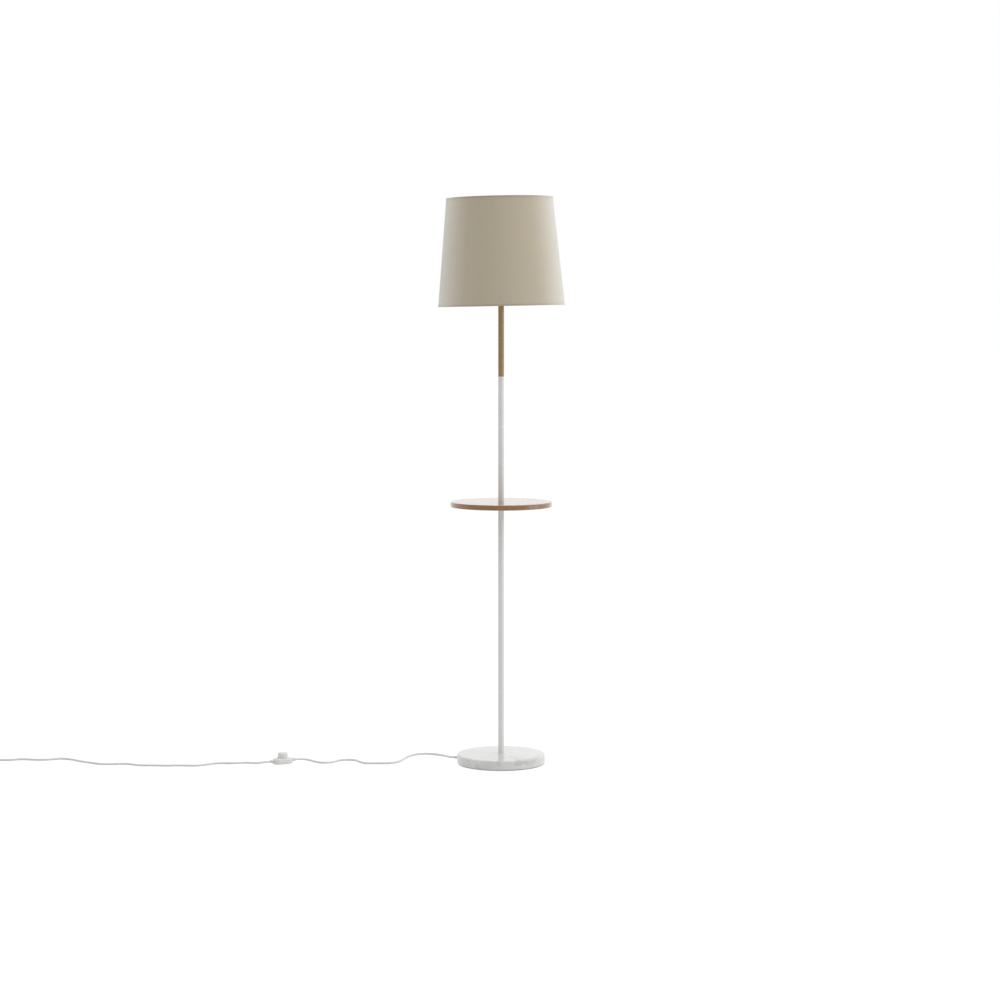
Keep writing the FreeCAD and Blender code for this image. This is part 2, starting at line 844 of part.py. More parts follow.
def shade_spokes():
    """Spokes welded under the fitter and to the lower ring."""
    return leaned(spokes(spoke_wire).cut(wire_ring(bottom_wire_height)))


def shade_bottom_hem():
    """Hem of the lower rim, notched where the spokes come in."""
    return leaned(rolled_hem(shade_bottom, 1).cut(spokes(spoke_wire + 2 * seat_gap)))


def shade_top_hem():
    return leaned(rolled_hem(shade_top, -1))


def shade_bottom_ring():
    return leaned(wire_ring(bottom_wire_height))


def shade_top_ring():
    return leaned(wire_ring(top_wire_height))


def shade_fitter():
    half = fitter_thickness / 2
    return leaned(pipe(fitter_diameter / 2, fitter_bore / 2, fitter_middle - half,
                       fitter_middle + half))


# ---------------------------------------------------------------- foot switch

straight_part = switch_length - switch_width
switch_inner = switch_width / 2 - switch_wall
collar_bore = pedal_diameter / 2 + moving_gap
flange_radius = pedal_diameter / 2 + pedal_flange
retainer_under = switch_height - switch_wall
pedal_bottom = retainer_under - moving_gap - pedal_flange_height
stem_bottom = switch_wall + pedal_travel + 1.0
relief_inner_end = switch_length / 2 + switch_relief_outside - switch_relief_length
screw_reach = straight_part / 2 + switch_width / 2 - switch_wall - switch_screw_head / 2 - 0.6
screw_side = 7.4


def at_switch(shape):
    return placed(shape, switch_place, switch_heading)


def relief_holes():
    """What the two strain reliefs take out of the switch's end walls."""
    bar = rod(switch_relief_diameter / 2 + seat_gap, 0, switch_length)
    bar = laid_along_x(bar, switch_base_height)
    bar.translate(vector(relief_inner_end - seat_gap, 0, 0))
    return around(bar, 2)


def screw_points():
    """The two case screws stand beside the reliefs, at opposite corners."""
    return [(side * (screw_reach - 3), side * screw_side) for side in (-1, 1)]


def switch_base():
    """Lower shell, with a post for the spring and pedal, and bosses for the case screws."""
    outer = switch_width / 2
    bevel = switch_bottom_bevel
    high = switch_base_height
    shell = oblong(straight_part, (0, 0), (outer - bevel, 0), (outer, bevel), (outer, high), (0, high))
    hollow = oblong(straight_part, (0, switch_wall), (switch_inner, switch_wall),
                    (switch_inner, high + 1), (0, high + 1))
    shell = shell.cut(hollow)
    shell = shell.fuse(rod(post_diameter / 2, switch_wall - 0.5, high + 2))
    boss = switch_screw_diameter / 2 + switch_boss_wall
    for x, y in screw_points():
        shell = shell.fuse(rod(boss, switch_wall - 0.5, high, x, y))
        shell = shell.cut(rod(switch_screw_diameter / 2 + seat_gap, -1, high + 1, x, y))
        shell = shell.cut(rod(switch_screw_head / 2 + seat_gap, -1, switch_screw_head_height, x, y))
    return at_switch(shell.cut(relief_holes()).removeSplitter())


def switch_cover():
    """Upper shell with a soft top edge and a low collar round the pedal."""
    outer = switch_width / 2
    low = switch_base_height
    high = switch_height
    soft = switch_top_round
    lip = high + collar_height
    shell = oblong(straight_part, (0, low), (outer, low), (outer, high - soft),
                   corner_arc(outer - soft, high - soft, soft, 0, 90), (0, high))
    under = high - switch_wall
    inner_soft = soft - switch_wall
    hollow = oblong(straight_part, (0, low - 1), (switch_inner, low - 1), (switch_inner, under - inner_soft),
                    corner_arc(switch_inner - inner_soft, under - inner_soft, inner_soft, 0, 90),
                    (0, under))
    collar = spun((0, under), (outer - 1.5, under), (outer - 1.5, high - 0.8),
                  (collar_bore + 1.6, lip), (0, lip))
    shell = shell.fuse(collar).cut(hollow)
    boss = switch_screw_diameter / 2 + switch_boss_wall
    for x, y in screw_points():
        shell = shell.fuse(rod(boss, low, under + 0.5, x, y))
        shell = shell.cut(rod(switch_screw_diameter / 2 + seat_gap, low - 1, under - 0.5, x, y))
    shell = shell.cut(rod(collar_bore, low - 1, lip + 1))
    shell = shell.cut(rod(flange_radius + moving_gap, low - 1, under))
    return at_switch(shell.cut(relief_holes()).removeSplitter())


def switch_pedal():
    """Round push cap, hollow underneath, with a flange that the cover holds down and a stem that
    slides on the post."""
    radius = pedal_diameter / 2
    soft = pedal_round
    top = pedal_top
    cap = spun((0, pedal_bottom), (flange_radius, pedal_bottom),
               (flange_radius, pedal_bottom + pedal_flange_height),
               (radius, pedal_bottom + pedal_flange_height), (radius, top - soft),
               corner_arc(radius - soft, top - soft, soft, 0, 90), (0, top + 0.6))
    inner = radius - pedal_wall
    cap = cap.cut(rod(inner, pedal_bottom - 1, top - pedal_wall))
    stem = pipe(stem_diameter / 2, post_diameter / 2 + moving_gap, stem_bottom, top - pedal_wall + 0.5)
    return at_switch(cap.fuse(stem).removeSplitter())


def spring_radius():
    """The spring stands clear outside the stem."""
    return stem_diameter / 2 + moving_gap + spring_wire / 2


def switch_spring():
    """Coil spring round the stem, from the base's floor to the pedal's roof."""
    low = switch_wall + spring_wire / 2 + seat_gap
    high = pedal_top - pedal_wall - spring_wire / 2 - seat_gap
    radius = spring_radius()
    helix = Part.makeHelix((high - low) / spring_turns, high - low, radius)
    helix.translate(vector(0, 0, low))
    ring = Part.Wire(Part.Circle(vector(radius, 0, low), vector(0, 1, 0), spring_wire / 2).toShape())
    return at_switch(Part.Wire(helix).makePipeShell([ring], True, True))


def contact_offset():
    return spring_radius() + spring_wire / 2 + 0.6 + contact_width / 2


def switch_contacts():
    """Two brass strips on the floor of the base, each with a raised end under the bridge."""
    strips = []
    thick = contact_thickness
    low = switch_wall
    high = low + contact_rise
    for side in (-1, 1):
        x = side * contact_offset()
        tail = block(contact_width, contact_length, low, low + thick, x, (contact_length - thick) / 2)
        raised = block(contact_width, thick, low, high, x)
        strips.append(tail.fuse(raised).removeSplitter())
    return at_switch(Part.makeCompound(strips))


def switch_cores():
    """Two cores end on the contact strips, and the third passes both by on the other side."""
    reach = relief_inner_end
    level = switch_base_height - core_drop
    seat = switch_wall + contact_thickness + core_diameter / 2
    floor = switch_wall + core_diameter / 2
    apart = core_diameter / 2 + 0.2
    side_room = switch_inner - core_diameter / 2 - 1.5
    cores = []
    for side in (-1, 1):
        live = [(reach, apart, level), (reach * 0.82, apart + 2.4, level - 0.8),
                (reach * 0.66, apart + 5.4, seat + 0.4),
                (contact_offset(), contact_length * 0.78, seat)]
        cores.append(bent_rod([(side * x, y, z) for x, y, z in live], core_diameter))
    half = [(reach, -apart, level), (reach * 0.85, -apart - 4.2, level - 1.6),
            (reach * 0.53, -side_room * 0.86, floor + 0.1), (0, -side_room, floor + 0.1)]
    other_half = [(-x, y, z) for x, y, z in reversed(half[:-1])]
    cores.append(bent_rod(half + other_half, core_diameter))
    return at_switch(Part.makeCompound(cores)).cut(switch_reliefs())


def switch_bridge():
    """Contact plate carried under the pedal, above both strips until the pedal is pressed. Its
    middle is a ring round the spring."""
    low = switch_wall + contact_rise + pedal_travel + moving_gap
    hole = spring_radius() + spring_wire / 2 + moving_gap
    reach = pedal_diameter / 2 - pedal_wall / 2
    plate = block(2 * reach, contact_width, low, low + contact_thickness)
    plate = plate.fuse(rod(hole + 2, low, low + contact_thickness)).cut(rod(hole, low - 1, low + 2))
    for side in (-1, 1):
        leg = block(contact_thickness, contact_width, low, pedal_bottom, side * reach)
        plate = plate.fuse(leg)
    return at_switch(plate.removeSplitter())


def switch_screws():
    screws = []
    for x, y in screw_points():
        screw = rod(switch_screw_head / 2, seat_gap, switch_screw_head_height - seat_gap, x, y)
        screw = screw.fuse(rod(switch_screw_diameter / 2, 0.5, switch_screw_length, x, y))
        for heading in (0, 90):
            slot = block(switch_screw_head * 0.6, screw_slot_width, -1, screw_slot_width)
            screw = screw.cut(placed(slot, (x, y), heading))
        screws.append(screw.removeSplitter())
    return at_switch(Part.makeCompound(screws))


def switch_reliefs():
    """Moulded reliefs held between the two shells, one at each end."""
    plain = switch_relief_length - switch_relief_outside
    piece = tapered_relief(switch_relief_length, switch_relief_diameter / 2,
                           flex_diameter / 2 + relief_mouth_wall, flex_diameter / 2 + seat_gap,
                           relief_socket, relief_groove_count - 1, plain)
    piece = laid_along_x(piece, switch_base_height)
    piece.translate(vector(relief_inner_end, 0, 0))
    return at_switch(around(piece, 2))


# ---------------------------------------------------------------- loose flex, coil and plug

def flex_at_base(distance):
    return ahead((0, 0), exit_heading, base_radius + distance, flex_level)


def flex_at_switch(distance):
    return ahead(switch_place, switch_heading, distance, switch_base_height)


switch_mouth = switch_length / 2 + switch_relief_outside


def cord_to_switch():
    points = [flex_at_base(flex_start), flex_at_base(flex_start * 2)] + route_to_base
    points += [flex_at_switch(switch_mouth + 18.5), flex_at_switch(switch_mouth - relief_socket)]
    return bent_rod(points, flex_diameter, "cord_to_switch")


def cord_to_coil():
    points = [flex_at_switch(relief_socket - switch_mouth), flex_at_switch(-switch_mouth - 16)]
    points += route_to_coil
    points.append((coil_centre[0] - coil_outer_turn, coil_centre[1], coil_low_turn))
    return bent_rod(points, flex_diameter, "cord_to_coil").cut(cord_coil())


# Two turns lie side by side on the tie, and a third lies in the groove between them.
coil_low_turn = tie_thickness + flex_diameter / 2
coil_inner_turn = coil_outer_turn - flex_diameter
coil_top_turn = coil_outer_turn - flex_diameter / 2
coil_high_turn = coil_low_turn + flex_diameter * math.sqrt(3) / 2


def coil_section(grow):
    """The outer shape of the three turns side by side, grown by some thickness."""
    radius = flex_diameter / 2 + grow
    across = radius * math.cos(math.radians(30))
    rise = radius * math.sin(math.radians(30))
    return [(coil_inner_turn, coil_low_turn - radius), (coil_outer_turn, coil_low_turn - radius),
            corner_arc(coil_outer_turn, coil_low_turn, radius, -90, 30),
            (coil_top_turn + across, coil_high_turn + rise),
            corner_arc(coil_top_turn, coil_high_turn, radius, 30, 150),
            (coil_inner_turn - across, coil_low_turn + rise),
            corner_arc(coil_inner_turn, coil_low_turn, radius, 150, 270)]


def cord_coil():
    return placed(spun(*coil_section(0)), coil_centre, 0)


def coil_tie():
    """A strap round the coil's turns."""
    band = spun(*coil_section(tie_thickness)).cut(spun(*coil_section(seat_gap)))
    slice_across = block(coil_outer_turn * 2, tie_width, -1, coil_high_turn * 2, coil_outer_turn)
    return placed(band.common(slice_across), coil_centre, tie_heading)


def at_plug(shape):
    return placed(shape, plug_place, plug_heading)


plug_level = plug_thickness / 2


def rounded_rectangle(x, width, height, corner):
    """An upright rounded rectangle across the plug's length."""
    half = width / 2 - corner
    rise = height / 2 - corner
    edges = []
    centres = [(half, rise, 0), (-half, rise, 90), (-half, -rise, 180), (half, -rise, 270)]
    ends = []
    for y, z, start in centres:
        arc = []
        for angle in (start, start + 45, start + 90):
            turn = math.radians(angle)
            arc.append(vector(x, y + corner * math.cos(turn), plug_level + z + corner * math.sin(turn)))
        ends.append(arc)
    for number, arc in enumerate(ends):
        edges.append(Part.Arc(*arc).toShape())
        edges.append(Part.LineSegment(arc[2], ends[(number + 1) % 4][0]).toShape())
    return Part.Wire(edges)


def plug_body():
    """Flat moulded body, widest behind the pins and drawn in to the boot, with a sleeve on each
    pin's root."""
    length = plug_length_overall
    widths = [(0, plug_rear_width, plug_rear_thickness), (length * 0.32, plug_rear_width * 1.35, plug_thickness),
              (length * 0.68, plug_width, plug_thickness), (length, plug_width, plug_thickness)]
    sections = [rounded_rectangle(x, width, height, plug_corner) for x, width, height in widths]
    body = Part.makeLoft(sections, True, True)
    pin_hole = rod(pin_core_diameter / 2 + seat_gap, length - pin_root, length + pin_sleeve_length + 1)
    sleeve = rod(pin_sleeve_diameter / 2, length - 1, length + pin_sleeve_length)
    for side in (-1, 1):
        for shape, joins in ((sleeve, True), (pin_hole, False)):
            laid = laid_along_x(shape, plug_level)
            laid.translate(vector(0, side * pin_spacing / 2, 0))
            body = body.fuse(laid) if joins else body.cut(laid)
    boot_seat = laid_along_x(rod(boot_diameter / 2 + seat_gap, -1, 4), plug_level)
    return at_plug(body.cut(boot_seat).removeSplitter())


def plug_pins():
    root = plug_length_overall - pin_root
    bare = plug_length_overall + pin_sleeve_length
    tip = plug_length_overall + pin_length
    thin = pin_core_diameter / 2
    thick = pin_diameter / 2
    pins = []
    for side in (-1, 1):
        pin = spun((0, root), (thin, root), (thin, bare + seat_gap), (thick, bare + seat_gap),
                   (thick, tip - 1.2), (thick - 0.5, tip - 0.35), (0, tip))
        pin = laid_along_x(pin, plug_level)
        pin.translate(vector(0, side * pin_spacing / 2, 0))
        pins.append(pin)
    return at_plug(Part.makeCompound(pins))


def plug_boot():
    """Grooved taper behind the plug, seated in the body."""
    piece = tapered_relief(boot_length + 4, boot_diameter / 2, flex_diameter / 2 + relief_mouth_wall,
                           flex_diameter / 2 + seat_gap, relief_socket, boot_groove_count, 5)
    piece = laid_along_x(piece, plug_level)
    piece.rotate(vector(0, 0, 0), UP, 180)
    piece.translate(vector(4 - seat_gap, 0, 0))
    return at_plug(piece)


def cord_tail():
    """From the coil's top turn over the outer one and down to the plug's boot."""
    left = coil_centre[0] - coil_top_turn
    boot_mouth = plug_place[1] + boot_length
    points = [(left, coil_centre[1], coil_high_turn), (left - 0.4, coil_centre[1] - 14, 9.9),
              (plug_place[0], boot_mouth + 14, plug_level),
              (plug_place[0], boot_mouth - relief_socket + seat_gap, plug_level)]
    return bent_rod(points, flex_diameter, "cord_tail").cut(cord_coil())


# ---------------------------------------------------------------- write each piece

PIECES = [
    base_marble, base_pad, base_washer, base_nut, base_nipple, cord_gland, cord_riser,
    lower_tube_foot_plug, lower_tube, lower_tube_top_plug, table_flange, table_screws, table_top,
    table_nipple, middle_tube_foot_plug, middle_tube, middle_tube_top_plug, ferrule, pole_nipple,
    wood_pole, holder_nipple, holder_cap, holder_body, holder_insert, holder_screw_shell,
    holder_tongue, holder_terminals, terminal_screws, holder_cores, shade_ring_nut,
    bulb_glass, bulb_cap, bulb_insulator, bulb_contact,
    shade_fabric, shade_liner, shade_top_hem, shade_bottom_hem, shade_top_ring, shade_bottom_ring,
    shade_spokes, shade_fitter,
    cord_to_switch, switch_base, switch_cover, switch_pedal, switch_spring, switch_contacts,
    switch_cores, switch_bridge, switch_screws, switch_reliefs,
    cord_to_coil, cord_coil, coil_tie, cord_tail, plug_body, plug_pins, plug_boot,
]

os.makedirs("parts", exist_ok=True)
for piece in PIECES:
    piece().exportStep(os.path.join("parts", piece.__name__ + ".step"))
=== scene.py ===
import math

import bmesh
import bpy
import numpy as np
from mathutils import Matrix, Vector


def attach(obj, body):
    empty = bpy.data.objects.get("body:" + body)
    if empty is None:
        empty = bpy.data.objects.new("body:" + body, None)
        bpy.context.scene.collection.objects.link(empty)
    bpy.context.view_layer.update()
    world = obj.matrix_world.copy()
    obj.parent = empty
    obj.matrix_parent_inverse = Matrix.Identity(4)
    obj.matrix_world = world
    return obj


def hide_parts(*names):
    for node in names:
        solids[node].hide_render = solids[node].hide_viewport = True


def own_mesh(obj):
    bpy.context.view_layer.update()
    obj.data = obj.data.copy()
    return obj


# Floor lamp with a small round table on its pole: its looks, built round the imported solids.
#
# Metres, in the solids' own frame: the origin is on the floor under the pole, +Z is up and the
# front is towards -Y.

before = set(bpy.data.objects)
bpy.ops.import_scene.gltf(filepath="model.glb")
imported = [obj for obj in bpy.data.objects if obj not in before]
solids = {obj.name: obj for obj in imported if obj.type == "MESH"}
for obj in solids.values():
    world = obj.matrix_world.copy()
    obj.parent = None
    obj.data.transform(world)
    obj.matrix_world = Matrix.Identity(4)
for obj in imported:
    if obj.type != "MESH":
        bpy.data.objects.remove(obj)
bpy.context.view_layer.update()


# ---------------------------------------------------------------- studio
# A white floor in a soft white room that is darker on the camera's side. A large softbox stands
# at the right and another hangs overhead. The camera is level with the wooden pole.

scene = bpy.context.scene
scene.view_settings.view_transform = "Standard"

focal_length = 90.468
camera_place = (-0.003, -6.7874, 1.2545)
camera_tilt = 4.497      # degrees below level

lens = bpy.data.cameras.new("camera")
lens.lens = focal_length
camera = bpy.data.objects.new("camera", lens)
camera.location = camera_place
camera.rotation_euler = (math.radians(90 - camera_tilt), 0, 0)
scene.collection.objects.link(camera)
scene.camera = camera


def add_node(tree, kind, inputs=None, **settings):
    """A shader node with its settings made, then each input linked to a socket or set to a
    value."""
    node = tree.nodes.new(kind)
    for name, value in settings.items():
        setattr(node, name, value)
    for name, value in (inputs or {}).items():
        if isinstance(value, bpy.types.NodeSocket):
            tree.links.new(value, node.inputs[name])
        else:
            node.inputs[name].default_value = value
    return node


def calculate(tree, operation, first, second=0.0):
    """The output of one sum on two numbers."""
    return add_node(tree, "ShaderNodeMath", {0: first, 1: second}, operation=operation).outputs[0]


def mixed(tree, share, first, second):
    """A colour between two, by a share from 0 to 1."""
    node = add_node(tree, "ShaderNodeMix", {"Factor": share}, data_type="RGBA")
    for socket, colour in ((node.inputs[6], first), (node.inputs[7], second)):
        if isinstance(colour, bpy.types.NodeSocket):
            tree.links.new(colour, socket)
        else:
            socket.default_value = (*colour, 1)
    return node.outputs[2]


def ranged(tree, value, low, high, first=0.0, last=1.0):
    """A number carried from one range to another, and held at that range's ends."""
    return add_node(tree, "ShaderNodeMapRange", {"Value": value, "From Min": low, "From Max": high,
                                                 "To Min": first, "To Max": last}).outputs[0]


gloss_at_front = 0.33


def backdrop_rays(tree, depth, front, back):
    """The share of white that a ray sees: 1 straight or through glass, 0 for light, and in gloss
    from a third at the front to 1 at the back of a depth."""
    path = add_node(tree, "ShaderNodeLightPath").outputs
    whiter = ranged(tree, depth, front, back, gloss_at_front)
    in_gloss = calculate(tree, "MULTIPLY", path["Is Glossy Ray"], whiter)
    seen = calculate(tree, "MAXIMUM", path["Is Camera Ray"], in_gloss)
    return calculate(tree, "MAXIMUM", seen, path["Is Transmission Ray"])


def depth_of(tree, vector):
    """How far back a place or a direction lies."""
    return add_node(tree, "ShaderNodeSeparateXYZ", {0: vector}).outputs["Y"]


room_level = 0.73
room_slope = (-0.01, 0.10, 0.08)  # how much brighter the room is to the right, back and top

room = bpy.data.worlds.new("room")
room.use_nodes = True
scene.world = room
tree = room.node_tree
tree.nodes.clear()
direction = add_node(tree, "ShaderNodeTexCoord").outputs["Generated"]
slope = add_node(tree, "ShaderNodeVectorMath", {0: direction, 1: room_slope},
                 operation="DOT_PRODUCT")
level = calculate(tree, "ADD", slope.outputs["Value"], room_level)
light = add_node(tree, "ShaderNodeCombineColor", {"Red": level, "Green": level, "Blue": level})
white_share = backdrop_rays(tree, depth_of(tree, direction), -0.6, 0.4)
shown = mixed(tree, white_share, light.outputs[0], (1, 1, 1))
background = add_node(tree, "ShaderNodeBackground", {"Color": shown})
add_node(tree, "ShaderNodeOutputWorld", {"Surface": background.outputs[0]})


def softbox(name, place, aim, side, watts):
    """A square lamp at a place, facing a point."""
    data = bpy.data.lights.new(name, "AREA")
    data.size = side
    data.energy = watts
    lamp = bpy.data.objects.new(name, data)
    lamp.location = place
    toward = lamp.location - Vector(aim)
    lamp.rotation_euler = toward.to_track_quat("Z", "Y").to_euler()
    lamp.visible_camera = False
    scene.collection.objects.link(lamp)


softbox("softbox_right", (3.3, -0.7, 1.4), (0, 0, 0.9), 1.8, 30)
softbox("softbox_top", (0.2, 0.4, 3.6), (0, 0, 0.4), 1.7, 32)

floor_half = 40.0
floor_drop = 0.0002  # how far the floor lies under the lamp
floor_albedo = 0.72
seen_albedo = 0.2  # the part of the seen floor that shadows darken
seen_glow = 0.87

floor_mesh = bpy.data.meshes.new("floor")
floor_mesh.from_pydata([(x * floor_half, y * floor_half, -floor_drop)
                        for x, y in ((-1, -1), (1, -1), (1, 1), (-1, 1))], [], [(0, 1, 2, 3)])
floor = bpy.data.objects.new("floor", floor_mesh)
scene.collection.objects.link(floor)
floor_white = bpy.data.materials.new("floor_white")
floor_white.use_nodes = True
tree = floor_white.node_tree
tree.nodes.clear()
matt = add_node(tree, "ShaderNodeBsdfDiffuse", {"Color": (floor_albedo,) * 3 + (1,)})
matt_seen = add_node(tree, "ShaderNodeBsdfDiffuse", {"Color": (seen_albedo,) * 3 + (1,)})
glow_seen = add_node(tree, "ShaderNodeEmission", {"Strength": seen_glow})
floor_seen = add_node(tree, "ShaderNodeAddShader", {0: matt_seen.outputs[0],
                                                    1: glow_seen.outputs[0]})
floor_depth = depth_of(tree, add_node(tree, "ShaderNodeTexCoord").outputs["Object"])
floor_white_share = backdrop_rays(tree, floor_depth, -3.0, 0.5)
floor_shader = add_node(tree, "ShaderNodeMixShader", {0: floor_white_share, 1: matt.outputs[0],
                                                      2: floor_seen.outputs[0]})
add_node(tree, "ShaderNodeOutputMaterial", {"Surface": floor_shader.outputs[0]})
floor_mesh.materials.append(floor_white)


# ---------------------------------------------------------------- flex
# Round white flex with a smooth vinyl sheath, 5.5 mm thick. It leaves the base at the back left
# and lies on the floor in loose bends: to the foot switch, and from there to a coil of three
# turns, held by a strap, whose end carries the plug.

flex_diameter = 0.0055
tie_thickness = 0.0008
on_floor = flex_diameter / 2


def new_finish(name, **sockets):
    """A material with one Principled shader, whose sockets take plain values. Returns the
    material, its tree, its shader and the Object coordinates."""
    material = bpy.data.materials.new(name)
    material.use_nodes = True
    tree = material.node_tree
    shader = tree.nodes["Principled BSDF"]
    for socket, value in sockets.items():
        shader.inputs[socket.replace("_", " ")].default_value = value
    return material, tree, shader, add_node(tree, "ShaderNodeTexCoord").outputs["Object"]


def join(tree, shader, **sockets):
    """Links sockets of other nodes to a shader's inputs."""
    for name, socket in sockets.items():
        tree.links.new(socket, shader.inputs[name.replace("_", " ")])


def relief(tree, height, depth, strength=1.0):
    """The normal that a height from 0 to 1 gives, over a depth in metres."""
    bump = {"Height": height, "Distance": depth, "Strength": strength}
    return add_node(tree, "ShaderNodeBump", bump).outputs["Normal"]


def new_group(name, inputs, outputs):
    """A shader node group with named sockets. Returns it, its inputs and its output node."""
    group = bpy.data.node_groups.new(name, "ShaderNodeTree")
    for socket, (kind, start) in inputs.items():
        made = group.interface.new_socket(socket, in_out="INPUT", socket_type="NodeSocket" + kind)
        if start is not None:
            made.default_value = start
    for socket, kind in outputs.items():
        group.interface.new_socket(socket, in_out="OUTPUT", socket_type="NodeSocket" + kind)
    return group, add_node(group, "NodeGroupInput").outputs, add_node(group, "NodeGroupOutput")


# Moulded, painted and plated faces are never quite even: soft patches of tone, a fine skin, and
# gloss that wanders where hands and dust have dulled it.
uneven, given, made = new_group(
    "uneven_skin",
    {"Position": ("Vector", None), "Tone": ("Color", (0.8, 0.8, 0.8, 1)),
     "Worn Tone": ("Color", (0.7, 0.7, 0.7, 1)), "Patches per Metre": ("Float", 20.0),
     "Grains per Metre": ("Float", 1500.0), "Roughness": ("Float", 0.4),
     "Wander": ("Float", 0.1)},
    {"Color": "Color", "Roughness": "Float", "Height": "Float"})
patches = add_node(uneven, "ShaderNodeTexNoise", {"Vector": given["Position"], "Detail": 4.0,
                                                  "Scale": given["Patches per Metre"]})
grains = add_node(uneven, "ShaderNodeTexNoise", {"Vector": given["Position"], "Detail": 2.0,
                                                 "Scale": given["Grains per Metre"]})
patch_share = ranged(uneven, patches.outputs[0], 0.35, 0.75)
worn = calculate(uneven, "MULTIPLY", patch_share, given["Wander"])
uneven.links.new(mixed(uneven, patch_share, given["Tone"], given["Worn Tone"]),
                 made.inputs["Color"])
uneven.links.new(calculate(uneven, "ADD", given["Roughness"], worn), made.inputs["Roughness"])
uneven.links.new(grains.outputs[0], made.inputs["Height"])


def skin_finish(name, tone, worn_tone, roughness, wander=0.1, patches=20.0, grains=1500.0,
                depth=0.00003, **sockets):
    """A material of the uneven skin in two tones, with its own gloss and grain."""
    material, tree, shader, position = new_finish(name, **sockets)
    skin = add_node(tree, "ShaderNodeGroup",
                    {"Position": position, "Tone": (*tone, 1), "Worn Tone": (*worn_tone, 1),
                     "Patches per Metre": patches, "Grains per Metre": grains,
                     "Roughness": roughness, "Wander": wander}, node_tree=uneven).outputs
    join(tree, shader, Base_Color=skin["Color"], Roughness=skin["Roughness"],
         Normal=relief(tree, skin["Height"], depth))
    return material


def dress(material, *names):
    """Gives a finish to solids that keep their shape."""
    for name in names:
        solids[name].data.materials.clear()
        solids[name].data.materials.append(material)


vinyl = skin_finish("vinyl", (0.74, 0.74, 0.73), (0.66, 0.66, 0.65), 0.38, 0.12, patches=35.0,
                    grains=2500.0)


def flex(name, points):
    """A cord on a smooth spline with these control points."""
    curve = bpy.data.curves.new(name, "CURVE")
    curve.dimensions = "3D"
    spline = curve.splines.new("NURBS")
    spline.points.add(len(points) - 1)
    spline.points.foreach_set("co", np.column_stack([points, np.ones(len(points))]).ravel())
    spline.order_u = 3
    spline.use_endpoint_u = True
    spline.resolution_u = 10
    curve.bevel_depth = flex_diameter / 2
    curve.bevel_resolution = 6
    curve.use_fill_caps = True
    curve.materials.append(vinyl)
    piece = bpy.data.objects.new(name, curve)
    scene.collection.objects.link(piece)
    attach(piece, "lamp")
    return piece


to_switch = np.array([
    (-0.1224, 0.0545, 0.00575), (-0.1352, 0.0602, 0.00575), (-0.146, 0.074, 0.0042),
    (-0.153, 0.096, on_floor), (-0.181, 0.119, on_floor), (-0.213, 0.133, on_floor),
    (-0.246, 0.111, on_floor), (-0.265, 0.059, on_floor), (-0.276, 0.010, on_floor),
    (-0.300, -0.018, on_floor), (-0.335, -0.016, on_floor), (-0.364, -0.019, on_floor),
    (-0.384, -0.005, on_floor), (-0.398, 0.034, on_floor), (-0.440, 0.037, on_floor),
    (-0.458, -0.001, on_floor), (-0.480, -0.010, on_floor), (-0.502, -0.003, on_floor),
    (-0.523, 0.020, 0.0045), (-0.5470, 0.0221, 0.008), (-0.5669, 0.0115, 0.008)])
flex_to_switch = flex("flex_to_switch", to_switch)
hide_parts("cord_to_switch")

to_coil = np.array([
    (-0.6251, -0.0195, 0.008), (-0.6428, -0.0289, 0.008), (-0.665, -0.028, 0.0045),
    (-0.694, -0.005, on_floor), (-0.732, -0.017, on_floor), (-0.776, -0.014, on_floor),
    (-0.801, -0.038, on_floor), (-0.832, -0.055, on_floor), (-0.869, -0.047, on_floor),
    (-0.906, -0.053, on_floor), (-0.946, -0.047, on_floor), (-0.984, -0.048, on_floor),
    (-1.020, -0.022, on_floor), (-1.057, -0.029, on_floor), (-1.090, -0.030, on_floor),
    (-1.119, -0.010, on_floor), (-1.153, 0.014, on_floor), (-1.181, 0.042, on_floor),
    (-1.212, 0.056, on_floor), (-1.245, 0.035, on_floor), (-1.284, 0.035, on_floor),
    (-1.316, 0.047, on_floor), (-1.348, 0.031, on_floor), (-1.375, 0.032, on_floor),
    (-1.400, 0.041, on_floor), (-1.424, 0.052, 0.0030)])
to_plug = np.array([
    (-1.4758, -0.0025, 0.0100), (-1.4775, -0.017, 0.0100), (-1.478, -0.030, 0.00685),
    (-1.478, -0.04295, 0.00685)])

coil_centre = np.array([-1.446, 0.0115])
coil_radius = 0.033     # of the outer turn where the strap holds it
strap_angle = 90.0      # degrees, from +X
points_in_turn = 16
entry_swing = 0.0035    # how far outside its turn the flex comes in
climb_start, climb_end, coil_end = 900.0, 1050.0, 1260.0  # degrees along the turns, from +X
first_roll, last_roll = 180.0, 60.0  # degrees round the second turn, from its outer side


